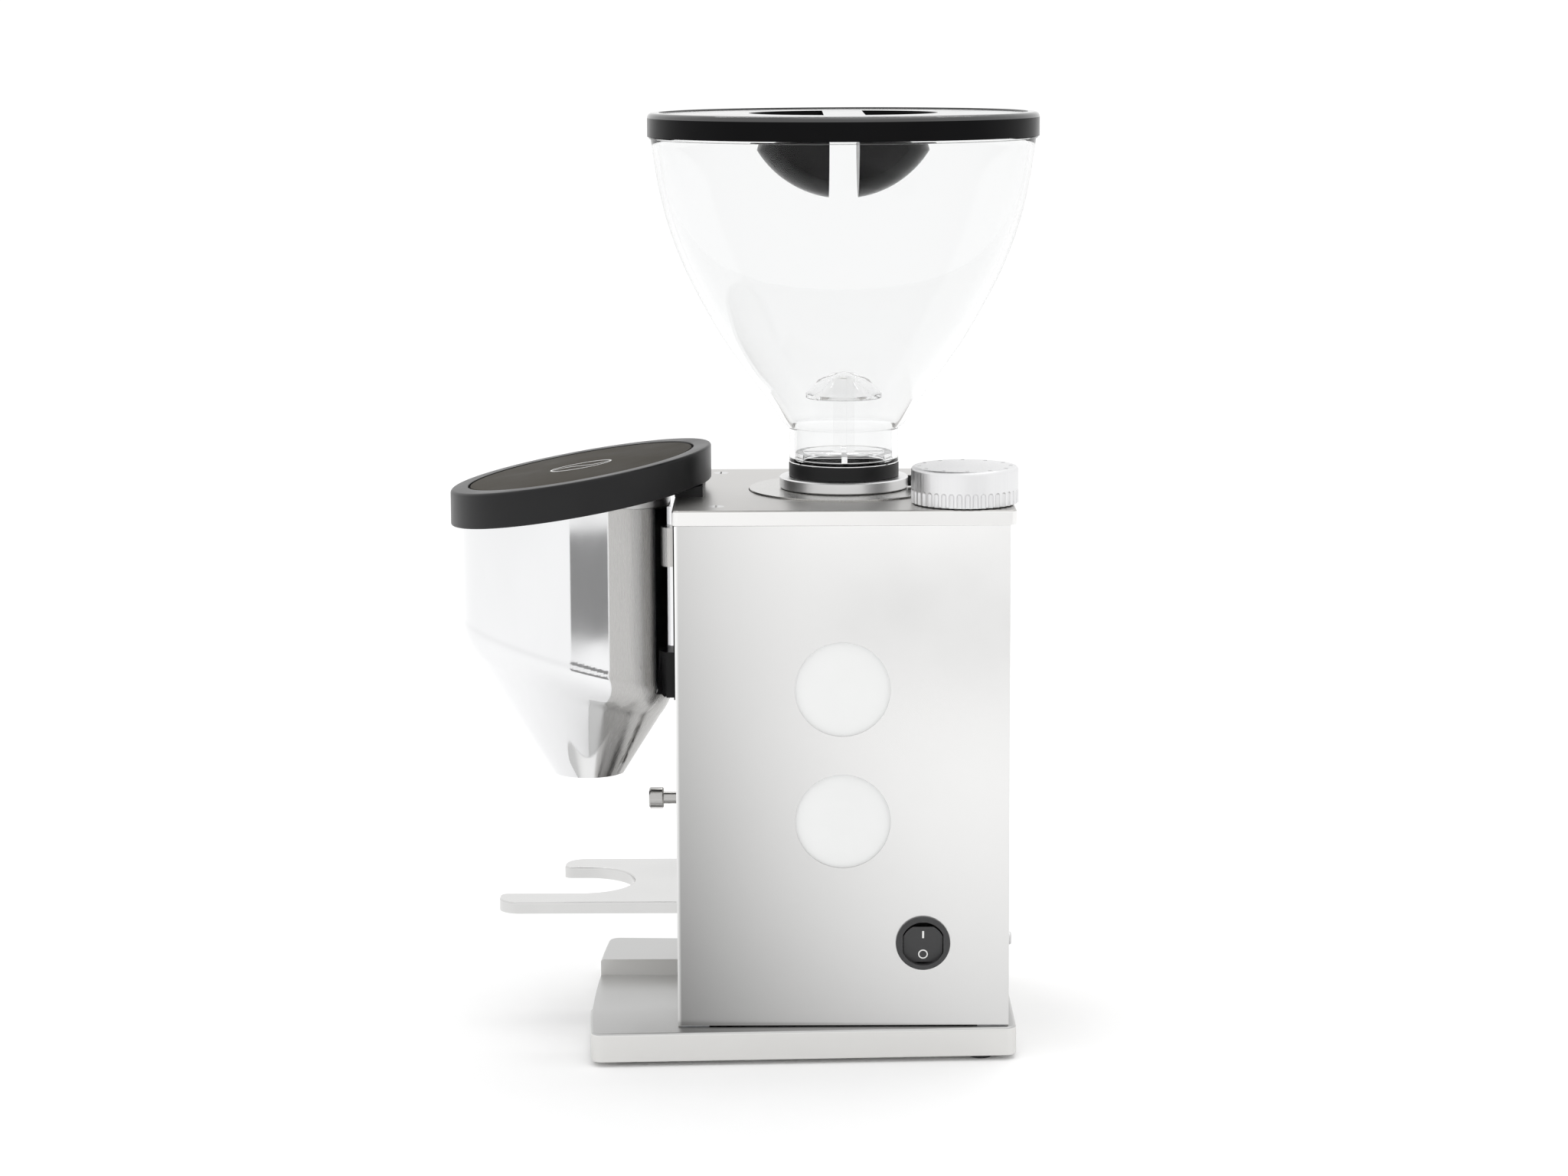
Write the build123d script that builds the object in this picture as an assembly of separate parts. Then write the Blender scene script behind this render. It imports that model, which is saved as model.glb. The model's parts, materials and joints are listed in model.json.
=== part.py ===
from build123d import *
import os
from math import atan2, cos, pi, radians, sin, sqrt, tan

# Burr coffee grinder. Millimetres, +Z up, the fork and funnel face -Y, the switch is on +X.
# Pieces are drawn with Y = 0 at the middle of the case and moved at the end, so that the
# origin lies under the middle of the whole grinder, on the surface that it stands on.

# ---- driving sizes: case ---------------------------------------------------------------
CASE_W = 131.0            # over the two side panels
CASE_L = 140.0            # front panel to rear panel
FOOT_H = 2.0
BASE_T = 12.4
PANEL_H = 213.8
PLATE_T = 6.4
PLATE_OVER_SIDE = 1.5     # how far the top plate stands out past the side panels
PLATE_OVER_FRONT = 1.0
PLATE_OVER_REAR = 2.6
PLATE_CORNER_R = 3.0
SHEET_T = 1.2             # stainless case sheet
SHEET_GAP = 0.6           # shadow gap above the base
FIT_GAP = 0.1             # gap between case pieces that only lie side by side

# ---- driving sizes: base ---------------------------------------------------------------
BASE_OVER_SIDE_REAR = 2.0
BASE_OVER_SIDE_FRONT = 10.5
BASE_OVER_REAR = 3.4
BASE_FRONT_REACH = 36.2   # from the front panel to the base's front corners
BASE_FRONT_BULGE = 3.1
BASE_CORNER_R = 5.0
CHANNEL_HALF_W = 38.5
CHANNEL_DEPTH = 7.4
FOOT_R = 5.2
FOOT_STEM_R = 2.5
FOOT_FRONT_X = 64.0
FOOT_REAR_X = 60.0
FOOT_STEM_L = 4.0
UNDERSIDE_POCKET = 3.0
BASE_WALL = 9.0

# ---- driving sizes: round windows and power switch ------------------------------------
WINDOW_R = 20.1
WINDOW_LOW_Z = 103.2
WINDOW_PITCH = 56.4
BACKING_T = 1.0
BACKING_MARGIN = 6.0
SWITCH_Y = 33.7
SWITCH_Z = 50.7
SWITCH_BEZEL_R = 11.5
SWITCH_BEZEL_T = 1.8
SWITCH_BODY_R = 9.9
SWITCH_BODY_L = 17.0
ROCKER_HALF_W = 8.2
ROCKER_HALF_H = 8.0
ROCKER_ROUND_R = 9.0      # the paddle's corners are cut to this radius
ROCKER_TILT = 8.0
ROCKER_CLEAR = 0.35

# ---- driving sizes: grinding head, adjuster -------------------------------------------
BURR_Y = 1.7              # burr and hopper axis, from the middle of the case
BURR_R = 25.0
BURR_T = 6.0
BURR_EYE_R = 13.0
BURR_GAP = 0.5
RUN_GAP = 0.05            # radial clearance of a running fit
MOVE_GAP = 0.3            # clearance between pieces that move past each other
CARRIER_LIFT = 0.5        # how far the upper carrier rises over the ring's whole range
RING_R = 41.0
RING_PROUD = 0.7
RING_HOLE_GAP = 0.35
GEAR_MODULE = 1.8
RING_TEETH = 60
PINION_TEETH = 15
GEAR_T = 5.6
KNOB_BEARING = 48.0       # degrees round the burr axis from +X towards +Y
KNOB_R = 22.6
KNOB_H = 15.3
KNOB_GAP = 0.5
KNOB_FLUTES = 42
KNOB_FLUTE_R = 1.25
KNOB_FLUTE_H = 6.2
KNOB_DOTS = 12
SPINDLE_R = 4.0
COLLAR_R = 27.9
COLLAR_H = 4.9
BEAN_BORE_R = 16.5

# ---- driving sizes: hopper, lid --------------------------------------------------------
NECK_R = 23.8
NECK_H = 15.6
NECK_RING_H = 6.1
SPIGOT_R = 20.3
HOPPER_WALL = 2.6
HOPPER_R = 83.0
HOPPER_H = 126.0          # neck top to rim
HOPPER_KNEE_IN = 8.8      # where the straight lines of the bell's profile would meet, inside the rim
HOPPER_KNEE_H = 69.7
HOPPER_FOOT_OUT = 0.9     # the bell's lower end, outside the neck
HOPPER_BELL_R = 200.0
LID_OVER = 1.0            # how far the lid stands out past the hopper
LID_H = 10.2
LID_WALL = 2.4
GRIP_R = 43.5             # outside of the round hollow's bowl
GRIP_RISE = 6.5           # its centre, above the lid's top
GRIP_BAR = 12.6

# ---- driving sizes: funnel, tilted head, fork, button ----------------------------------
FUNNEL_R = 45.5
FUNNEL_WALL = 1.5
FUNNEL_STANDOFF = 3.5     # front panel to the funnel's cylinder
FUNNEL_MOUTH_R = 16.0
FUNNEL_DROP = 119.9       # head's underside to the mouth
FUNNEL_BRACKET_UP = 35.0  # mouth to the foot of the funnel's bracket
FUNNEL_MOUTH_BACK = 8.8   # mouth axis behind the cylinder's axis
FUNNEL_SLOPE = 0.62
HEAD_R = 56.6
HEAD_T = 15.2
HEAD_TILT = 9.75
HEAD_AXIS_FRONT = 42.4    # front panel to the tilted head's axis
HEAD_BELOW_PLATE = 4.5    # underside on that axis, below the top plate's top
HEAD_WALL = 2.4
HEAD_GLASS_R = 48.5
HEAD_GLASS_T = 1.6
FORK_HALF_W = 38.0
FORK_SLOT_HALF_W = 22.5
FORK_T = 5.0
FORK_TOP_Z = 61.5
FORK_ROOT = 20.8          # front panel to the bottom of the slot
FORK_LONG_ARM = 78.0      # front panel to the tip, +X arm
FORK_SHORT_ARM = 53.3
FORK_TIP_R = 9.0
BUTTON_Z = 98.5
BUTTON_R = 4.7
BUTTON_HEAD_L = 6.4
BUTTON_STEM_R = 2.7
BUTTON_REACH = 14.1       # front panel to the button's face
BUTTON_TRAVEL = 3.0

# ---- driving sizes: motor --------------------------------------------------------------
MOTOR_R = 38.0
MOTOR_WALL = 1.8
MOTOR_H = 92.0
SHAFT_R = 4.0
BEARING_R = 11.0
BEARING_T = 7.0
ROTOR_R = 21.5
AIR_GAP = 0.5
STACK_H = 46.0
BRIDGE_T = 4.0

# ---- places worked out from them -------------------------------------------------------
HALF_W = CASE_W / 2
FRONT = -CASE_L / 2
REAR = CASE_L / 2
BASE_TOP = FOOT_H + BASE_T
PANEL_LOW = BASE_TOP + SHEET_GAP
PANEL_TOP = PANEL_LOW + PANEL_H
PLATE_LOW = PANEL_TOP + 0.2
PLATE_TOP = PLATE_LOW + PLATE_T
IN_X = HALF_W - SHEET_T   # inner face of a side panel
IN_Y = CASE_L / 2 - SHEET_T
HEAD_LOW_Z = PLATE_TOP - HEAD_BELOW_PLATE
FUNNEL_MOUTH_Z = HEAD_LOW_Z - FUNNEL_DROP
FUNNEL_BRACKET_Z = FUNNEL_MOUTH_Z + FUNNEL_BRACKET_UP
LID_R = HOPPER_R + LID_OVER
HOPPER_KNEE_R = HOPPER_R - HOPPER_KNEE_IN
RING_TOP = PLATE_TOP + RING_PROUD
COLLAR_TOP = RING_TOP + MOVE_GAP + COLLAR_H
NECK_LOW = COLLAR_TOP + NECK_RING_H
BELL_LOW = NECK_LOW + NECK_H
HOPPER_TOP = BELL_LOW + HOPPER_H
LID_LOW = HOPPER_TOP - 0.9
LID_TOP = LID_LOW + LID_H
GEAR_DISTANCE = GEAR_MODULE * (RING_TEETH + PINION_TEETH) / 2
KNOB_X = GEAR_DISTANCE * cos(radians(KNOB_BEARING))
KNOB_Y = BURR_Y + GEAR_DISTANCE * sin(radians(KNOB_BEARING))
GEAR_TOP = PLATE_LOW - 0.4
GEAR_LOW = GEAR_TOP - GEAR_T
CARRIER_TOP = PLATE_TOP - 4.4      # top of the upper carrier's flange
UPPER_BURR_LOW = CARRIER_TOP - 4.5 - BURR_T
LOWER_BURR_TOP = UPPER_BURR_LOW - BURR_GAP
LOWER_BURR_LOW = LOWER_BURR_TOP - BURR_T
ROTOR_PLATE_LOW = LOWER_BURR_LOW - 7.0
CHAMBER_FLOOR = ROTOR_PLATE_LOW - 2.5
CHAMBER_LOW = CHAMBER_FLOOR - 8.5
CHAMBER_SHOULDER = GEAR_LOW - 1.0
CHAMBER_R = BURR_R + 15.0
BOSS_R = BURR_R + 9.0
BORE_R = BURR_R + 5.0
BRIDGE_LOW = CHAMBER_LOW - BRIDGE_T
MOTOR_LOW = BRIDGE_LOW - MOTOR_H
FUNNEL_Y = FRONT - FUNNEL_STANDOFF - FUNNEL_R
MOUTH_Y = FUNNEL_Y + FUNNEL_MOUTH_BACK
HEAD_Y = FRONT - HEAD_AXIS_FRONT
CHANNEL_Z = BASE_TOP - CHANNEL_DEPTH
POST = 12.0
POST_T = 2.0
DUCT_HALF_W = 9.0
DUCT_H = 13.0
DUCT_WALL = 2.0
DUCT_LOW = CHAMBER_FLOOR + 0.5
FRONT_END = HEAD_Y - HEAD_R
REAR_END = max(BURR_Y + LID_R, REAR + BASE_OVER_REAR)
FRAME_SHIFT = -(FRONT_END + REAR_END) / 2


# ---- small makers ----------------------------------------------------------------------
def block(x0, x1, y0, y1, z0, z1):
    """A box from its low and high corner."""
    return Pos((x0 + x1) / 2, (y0 + y1) / 2, (z0 + z1) / 2) * Box(x1 - x0, y1 - y0, z1 - z0)


def post(r, z0, z1, x=0.0, y=0.0):
    """A round bar standing along Z."""
    return Pos(x, y, (z0 + z1) / 2) * Cylinder(r, z1 - z0)


def pipe(r_out, r_in, z0, z1, x=0.0, y=0.0):
    """A round tube standing along Z."""
    return post(r_out, z0, z1, x, y) - post(r_in, z0 - 1, z1 + 1, x, y)


def bar_y(r, y0, y1, x, z):
    """A round bar lying along Y."""
    return Pos(x, (y0 + y1) / 2, z) * Rot(90, 0, 0) * Cylinder(r, y1 - y0)


def bar_x(r, x0, x1, y, z):
    """A round bar lying along X."""
    return Pos((x0 + x1) / 2, y, z) * Rot(0, 90, 0) * Cylinder(r, x1 - x0)


def group(solids):
    """Several separate solids that share one node."""
    return Compound([s for piece in solids for s in piece.solids()])


def turned(points, y=BURR_Y):
    """A solid of revolution about the vertical axis at Y from (radius, z) points."""
    face = make_face(Polyline([(r, 0, z) for r, z in points], close=True))
    return Pos(0, y, 0) * revolve(face, Axis.Z)


def four(x, y):
    """The four places (+-x, +-y)."""
    return [(sx * x, sy * y) for sx in (-1, 1) for sy in (-1, 1)]


def screw(head_r, head_h, shank_r, shank_l, top, x, y):
    """A flat-headed screw standing head up, with its head's top at the height given."""
    head = post(head_r, top - head_h, top, x, y)
    slot = block(x - head_r, x + head_r, y - 0.4, y + 0.4, top - head_h / 3, top + 1)
    return head - slot + post(shank_r, top - head_h - shank_l, top - head_h, x, y)


def plan(outline, z0, z1):
    """An upright prism over a closed outline of edges drawn at Z = 0."""
    return Pos(0, 0, z0) * extrude(make_face(outline), z1 - z0, dir=(0, 0, 1))


# ---- case ------------------------------------------------------------------------------
BASE_REAR_HALF = HALF_W + BASE_OVER_SIDE_REAR
BASE_FRONT_HALF = HALF_W + BASE_OVER_SIDE_FRONT
BASE_FRONT_Y = FRONT - BASE_FRONT_REACH
BASE_REAR_Y = REAR + BASE_OVER_REAR
FOOT_FRONT_Y = FRONT - 19.0
FOOT_REAR_Y = REAR - 11.6
PLATE_SCREWS = [(-1, -1), (1, -1), (-1, 1)]


def foot_places():
    """The four feet, the front pair further out along the flare of the base."""
    return [(-FOOT_FRONT_X, FOOT_FRONT_Y), (FOOT_FRONT_X, FOOT_FRONT_Y),
            (-FOOT_REAR_X, FOOT_REAR_Y), (FOOT_REAR_X, FOOT_REAR_Y)]


def base_outline(inset=0.0):
    """The base seen from above: it widens to the front, and its front edge bows out."""
    a = (-BASE_REAR_HALF + inset, BASE_REAR_Y - inset)
    b = (BASE_REAR_HALF - inset, BASE_REAR_Y - inset)
    c = (BASE_FRONT_HALF - inset, BASE_FRONT_Y + inset)
    d = (-BASE_FRONT_HALF + inset, BASE_FRONT_Y + inset)
    bow = (0, BASE_FRONT_Y - BASE_FRONT_BULGE + inset)
    return [Line(a, b), Line(b, c), ThreePointArc(c, bow, d), Line(d, a)]


def make_base():
    body = plan(base_outline(), FOOT_H, BASE_TOP)
    body = fillet(body.edges().filter_by(Axis.Z), BASE_CORNER_R)
    body = fillet(body.faces().sort_by(Axis.Z)[-1].edges(), 1.2)
    body = fillet(body.faces().sort_by(Axis.Z)[0].edges(), 0.6)
    pocket = plan(base_outline(BASE_WALL), FOOT_H - 1, FOOT_H + UNDERSIDE_POCKET)
    for x, y in foot_places():
        pocket -= post(FOOT_R + 2, 0, BASE_TOP, x, y)
    body -= pocket
    body -= block(-CHANNEL_HALF_W, CHANNEL_HALF_W, BASE_FRONT_Y - 20, FRONT + SHEET_T,
                  CHANNEL_Z, BASE_TOP + 5)
    for x, y in foot_places():
        body -= post(FOOT_STEM_R, FOOT_H - 1, FOOT_H + FOOT_STEM_L, x, y)
    return body


def make_feet():
    feet = []
    for x, y in foot_places():
        pad = fillet(post(FOOT_R, 0, FOOT_H, x, y).edges().group_by(Axis.Z)[0], 0.6)
        feet.append(pad + post(FOOT_STEM_R, FOOT_H, FOOT_H + FOOT_STEM_L, x, y))
    return group(feet)


def window_heights():
    return [WINDOW_LOW_Z, WINDOW_LOW_Z + WINDOW_PITCH]


def make_side_panel(side):
    x0, x1 = sorted((side * IN_X, side * HALF_W))
    panel = block(x0, x1, FRONT, REAR, PANEL_LOW, PANEL_TOP)
    for z in window_heights():
        panel -= bar_x(WINDOW_R, x0 - 1, x1 + 1, 0, z)
    if side > 0:
        panel -= bar_x(SWITCH_BODY_R, x0 - 1, x1 + 1, SWITCH_Y, SWITCH_Z)
    return panel


def make_backing(side):
    """The white sheet behind both round windows."""
    x0, x1 = sorted((side * IN_X, side * (IN_X - BACKING_T)))
    reach = WINDOW_R + BACKING_MARGIN
    low, high = window_heights()
    return block(x0, x1, -reach, reach, low - reach, high + reach)


def make_front_panel():
    panel = block(-IN_X + FIT_GAP, IN_X - FIT_GAP, FRONT, FRONT + SHEET_T, BASE_TOP, PANEL_TOP)
    tongue = CHANNEL_HALF_W - FIT_GAP
    panel += block(-tongue, tongue, FRONT, FRONT + SHEET_T, CHANNEL_Z, BASE_TOP)
    panel -= block(-FORK_HALF_W, FORK_HALF_W, FRONT - 1, FRONT + 2, FORK_TOP_Z - FORK_T, FORK_TOP_Z)
    panel -= bar_y(BUSH_R, FRONT - 1, FRONT + 2, 0, BUTTON_Z)
    panel -= duct_outer(FRONT - 1, FRONT + 2)
    for x, z in bracket_screw_places():
        panel -= bar_y(BRACKET_SCREW_R, FRONT - 1, FRONT + 2, x, z)
    return panel


INLET_Z = 40.0
INLET_HALF_W = 14.0
INLET_HALF_H = 10.0
INLET_SCREW_X = 20.0
VENT_ROWS = 9
VENT_COLUMNS = 3
VENT_L = 26.0
VENT_H = 3.0
VENT_PITCH = 8.0
VENT_LOW_Z = 105.0


def make_rear_panel():
    panel = block(-IN_X + FIT_GAP, IN_X - FIT_GAP, REAR - SHEET_T, REAR, BASE_TOP, PANEL_TOP)
    panel -= block(-INLET_HALF_W, INLET_HALF_W, REAR - 2, REAR + 1,
                   INLET_Z - INLET_HALF_H, INLET_Z + INLET_HALF_H)
    for sx in (-1, 1):
        panel -= bar_y(1.6, REAR - 2, REAR + 1, sx * INLET_SCREW_X, INLET_Z)
    slots = []
    for row in range(VENT_ROWS):
        for column in range(VENT_COLUMNS):
            x = (column - (VENT_COLUMNS - 1) / 2) * (VENT_L + 8)
            z = VENT_LOW_Z + row * VENT_PITCH
            slots.append(block(x - VENT_L / 2, x + VENT_L / 2, REAR - 2, REAR + 1,
                               z - VENT_H / 2, z + VENT_H / 2))
    return panel - group(slots)


def make_posts():
    """Four angle posts that join the base to the top plate, three with a screw tab."""
    posts = []
    for sx, sy in four(1, 1):
        x0, x1 = sorted((sx * IN_X, sx * (IN_X - POST)))
        y0, y1 = sorted((sy * IN_Y, sy * (IN_Y - POST)))
        angle = block(x0, x1, y0, y1, BASE_TOP, PLATE_LOW)
        cut_x = sorted((sx * (IN_X - POST_T), sx * (IN_X - POST - 1)))
        cut_y = sorted((sy * (IN_Y - POST_T), sy * (IN_Y - POST - 1)))
        angle -= block(*cut_x, *cut_y, BASE_TOP - 1, PLATE_LOW + 1)
        if (sx, sy) in PLATE_SCREWS:
            tab = block(*sorted((sx * IN_X, sx * (PLATE_SCREW_X - 6))),
                        *sorted((sy * IN_Y, sy * (PLATE_SCREW_Y - 6))), PLATE_LOW - 4, PLATE_LOW)
            angle += tab
            angle -= post(2.0, PLATE_LOW - 5, PLATE_LOW + 1, sx * PLATE_SCREW_X, sy * PLATE_SCREW_Y)
        posts.append(angle)
    return group(posts)


PLATE_SCREW_X = HALF_W - 12.3
PLATE_SCREW_Y = CASE_L / 2 - 17.3
PLATE_SCREW_HEAD_R = 3.4


def make_top_plate():
    x = HALF_W + PLATE_OVER_SIDE
    plate = block(-x, x, FRONT - PLATE_OVER_FRONT, REAR + PLATE_OVER_REAR, PLATE_LOW, PLATE_TOP)
    plate = fillet(plate.edges().filter_by(Axis.Z), PLATE_CORNER_R)
    plate = fillet(plate.faces().sort_by(Axis.Z)[-1].edges(), 1.0)
    plate = fillet(plate.faces().sort_by(Axis.Z)[0].edges(), 0.5)
    plate -= post(RING_R + RING_HOLE_GAP, PLATE_LOW - 1, PLATE_TOP + 1, 0, BURR_Y)
    plate -= post(SPINDLE_BUSH_R, PLATE_LOW - 1, PLATE_TOP + 1, KNOB_X, KNOB_Y)
    for sx, sy in PLATE_SCREWS:
        x, y = sx * PLATE_SCREW_X, sy * PLATE_SCREW_Y
        plate -= post(PLATE_SCREW_HEAD_R, PLATE_TOP - 2.6, PLATE_TOP + 1, x, y)
        plate -= post(2.0, PLATE_LOW - 1, PLATE_TOP, x, y)
    plate -= block(-SEAT_WIRE_HALF, SEAT_WIRE_HALF, SEAT_WIRE_Y - 3, SEAT_WIRE_Y + 3,
                   PLATE_LOW - 1, PLATE_TOP + 1)
    return plate


def make_plate_screws():
    return group([screw(PLATE_SCREW_HEAD_R, 2.6, 2.0, PLATE_T - 2.6 + 4.0, PLATE_TOP,
                        sx * PLATE_SCREW_X, sy * PLATE_SCREW_Y) for sx, sy in PLATE_SCREWS])


# ---- power inlet, switch, electronics --------------------------------------------------
def make_inlet():
    """A chassis inlet with three flat pins in its socket, for a loose mains lead."""
    body = block(-INLET_HALF_W, INLET_HALF_W, REAR - 26, REAR, INLET_Z - INLET_HALF_H,
                 INLET_Z + INLET_HALF_H)
    flange = block(-INLET_SCREW_X - 5, INLET_SCREW_X + 5, REAR, REAR + 2.2,
                   INLET_Z - INLET_HALF_H - 2, INLET_Z + INLET_HALF_H + 2)
    flange = fillet(flange.edges().filter_by(Axis.Y), 4.0)
    inlet = body + flange
    inlet -= block(-12.2, 12.2, REAR - 15, REAR + 3, INLET_Z - 8.2, INLET_Z + 8.2)
    for sx in (-1, 1):
        inlet -= bar_y(1.6, REAR - 1, REAR + 3, sx * INLET_SCREW_X, INLET_Z)
    for x, z in ((-7, 2.0), (7, 2.0), (0, -2.0)):
        inlet += block(x - 1, x + 1, REAR - 15.5, REAR - 3, INLET_Z + z - 2, INLET_Z + z + 2)
    return inlet


def make_inlet_screws():
    screws = []
    for sx in (-1, 1):
        head = bar_y(2.8, REAR + 2.2, REAR + 4.0, sx * INLET_SCREW_X, INLET_Z)
        head = fillet(head.edges().sort_by(Axis.Y)[-1:], 0.8)
        screws.append(head + bar_y(1.6, REAR - 6, REAR + 2.2, sx * INLET_SCREW_X, INLET_Z))
    return group(screws)


ROCKER_PIVOT_X = HALF_W - 3.0
ROCKER_POCKET_X = HALF_W - 9.0


def rocker_pocket():
    """The round-cornered well that the rocker tilts in."""
    half_w = ROCKER_HALF_W + ROCKER_CLEAR
    half_h = ROCKER_HALF_H + ROCKER_CLEAR + 0.9
    pocket = block(ROCKER_POCKET_X, HALF_W + 8, SWITCH_Y - half_w, SWITCH_Y + half_w,
                   SWITCH_Z - half_h, SWITCH_Z + half_h)
    rounding = bar_x(ROCKER_ROUND_R + ROCKER_CLEAR, ROCKER_POCKET_X - 1, HALF_W + 9,
                     SWITCH_Y, SWITCH_Z)
    return pocket & rounding


def make_switch_body():
    bezel = bar_x(SWITCH_BEZEL_R, HALF_W, HALF_W + SWITCH_BEZEL_T, SWITCH_Y, SWITCH_Z)
    bezel = fillet(bezel.edges().sort_by(Axis.X)[-1:], 0.9)
    barrel = bar_x(SWITCH_BODY_R, HALF_W - SWITCH_BODY_L, HALF_W, SWITCH_Y, SWITCH_Z)
    body = bezel + barrel - rocker_pocket()
    body -= bar_y(1.5 + RUN_GAP, SWITCH_Y - 9.3, SWITCH_Y + 9.3, ROCKER_PIVOT_X, SWITCH_Z)
    for dy in (-4, 0, 4):
        body += block(HALF_W - SWITCH_BODY_L - 7, HALF_W - SWITCH_BODY_L, SWITCH_Y + dy - 0.4,
                      SWITCH_Y + dy + 0.4, SWITCH_Z - 2.4, SWITCH_Z + 2.4)
    return body


def make_rocker():
    """Two faces that meet at a shallow angle, on a pivot pin, with the low end pressed in."""
    lift = 3.6
    fall = ROCKER_HALF_H * tan(radians(ROCKER_TILT))
    outline = Polyline((-4.6, 0, -3.2), (lift + fall - 1.0, 0, -ROCKER_HALF_H),
                       (lift, 0, 0), (lift + fall - 1.0, 0, ROCKER_HALF_H), (-4.6, 0, 3.2),
                       close=True)
    paddle = extrude(make_face(outline), ROCKER_HALF_W, dir=(0, 1, 0), both=True)
    paddle &= bar_x(ROCKER_ROUND_R, -8, 12, 0, 0)
    paddle += bar_y(1.5, -9.2, 9.2, 0, 0)
    return Pos(ROCKER_PIVOT_X, SWITCH_Y, SWITCH_Z) * Rot(0, ROCKER_TILT, 0) * paddle


BOARD_X = -HALF_W + 9.0


def make_control_board():
    board = block(BOARD_X, BOARD_X + 1.6, -44, 44, 22, 76)
    for sy in (-1, 1):
        for z in (27, 71):
            board += bar_x(2.5, -IN_X, BOARD_X, sy * 40, z)
    for y, z, w, h, d in ((-26, 58, 16, 16, 14), (-4, 60, 20, 12, 16), (20, 56, 14, 20, 12),
                          (-22, 32, 24, 8, 9), (14, 32, 10, 10, 18)):
        board += block(BOARD_X + 1.6, BOARD_X + 1.6 + d, y - w / 2, y + w / 2, z - h / 2, z + h / 2)
    return board


def make_capacitor():
    can = bar_y(14.0, -44, -2, 20, BASE_TOP + 16.0)
    strap = block(4, 36, -26, -20, BASE_TOP, BASE_TOP + 16.0) - bar_y(14.0, -30, -16, 20, BASE_TOP + 16.0)
    return can + strap


def wire(points, r):
    """A round wire along straight runs joined by tangent arcs."""
    path = FilletPolyline(points, radius=8.0)
    return sweep(Plane(origin=path @ 0, z_dir=path % 0) * Circle(r), path)


def make_harness():
    """Inlet to board, board to motor, and the lead that climbs to the tilted head."""
    lead_x = -HALF_W + 17.0
    high = DUCT_LOW + DUCT_H + DUCT_WALL + 4.5
    head_lead = wire([(lead_x + 6, -26, 66), (lead_x + 6, -26, 86), (lead_x + 6, FRONT + 18, 86),
                      (lead_x + 6, FRONT + 18, high),
                      (0, SEAT_WIRE_Y, high), (0, SEAT_WIRE_Y, HEAD_LOW_Z + 13)], 1.5)
    mains = wire([(-8, REAR - 26, 34), (-8, 14, 34), (BOARD_X + 19.6, 14, 34)], 1.6)
    return group([head_lead, mains])


# ---- motor -----------------------------------------------------------------------------
STACK_LOW = MOTOR_LOW + (MOTOR_H - STACK_H) / 2
STACK_TOP = STACK_LOW + STACK_H
BELL_T = 12.0
SHAFT_LOW = MOTOR_LOW - 14.0
MOTOR_SCREW_R = MOTOR_R - 7.0


def make_motor_housing():
    can = pipe(MOTOR_R, MOTOR_R - MOTOR_WALL, MOTOR_LOW + BELL_T, BRIDGE_LOW - BELL_T, 0, BURR_Y)
    for n in range(10):
        slot = block(-2.5, 2.5, MOTOR_R - 4, MOTOR_R + 2, STACK_TOP + 3, STACK_TOP + 9)
        can -= Pos(0, BURR_Y, 0) * Rot(0, 0, 36 * n + 18) * slot
    return can


def make_bell(z0, bearing_low):
    """An end bell with the seat of a ball bearing, and four windows for air."""
    bell = post(MOTOR_R, z0, z0 + BELL_T, 0, BURR_Y)
    bell -= post(BEARING_R, bearing_low, bearing_low + BEARING_T, 0, BURR_Y)
    bell -= post(SHAFT_R + 1.5, z0 - 1, z0 + BELL_T + 1, 0, BURR_Y)
    bell -= post(BEARING_R, min(bearing_low, z0 - 1), max(bearing_low, z0), 0, BURR_Y)
    for n in range(4):
        window = block(-6, 6, 16, 28, z0 - 1, z0 + BELL_T + 1)
        bell -= Pos(0, BURR_Y, 0) * Rot(0, 0, 90 * n + 45) * window
    return bell


def make_bearings():
    """The two ball bearings, drawn as plain rings."""
    lows = (MOTOR_LOW + 3, BRIDGE_LOW - BEARING_T)
    return group([pipe(BEARING_R, SHAFT_R + RUN_GAP, z, z + BEARING_T, 0, BURR_Y) for z in lows])


def make_stator():
    core = pipe(MOTOR_R - MOTOR_WALL, ROTOR_R + AIR_GAP, STACK_LOW, STACK_TOP, 0, BURR_Y)
    for n in range(12):
        slot = block(-2.2, 2.2, ROTOR_R + 3, MOTOR_R - 7, STACK_LOW - 1, STACK_TOP + 1)
        core -= Pos(0, BURR_Y, 0) * Rot(0, 0, 30 * n) * slot
    return core


def make_windings():
    """Coil ends above and below the stack, joined through its slots."""
    rings = []
    for z0 in (STACK_LOW - 9, STACK_TOP):
        ring = pipe(MOTOR_R - 5, ROTOR_R + 3, z0, z0 + 9, 0, BURR_Y)
        rings.append(fillet(ring.edges(), 2.5))
    coil = rings[0] + rings[1]
    for n in range(12):
        side = block(-2.2, 2.2, ROTOR_R + 3.6, MOTOR_R - 7.6, STACK_LOW - 4, STACK_TOP + 4)
        coil += Pos(0, BURR_Y, 0) * Rot(0, 0, 30 * n) * side
    return coil


def make_rotor():
    core = pipe(ROTOR_R, SHAFT_R, STACK_LOW + 1, STACK_TOP - 1, 0, BURR_Y)
    for z0, z1 in ((STACK_LOW - 3, STACK_LOW + 1), (STACK_TOP - 1, STACK_TOP + 3)):
        core += pipe(ROTOR_R - 1, ROTOR_R - 7, z0, z1, 0, BURR_Y)
    return core


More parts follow.
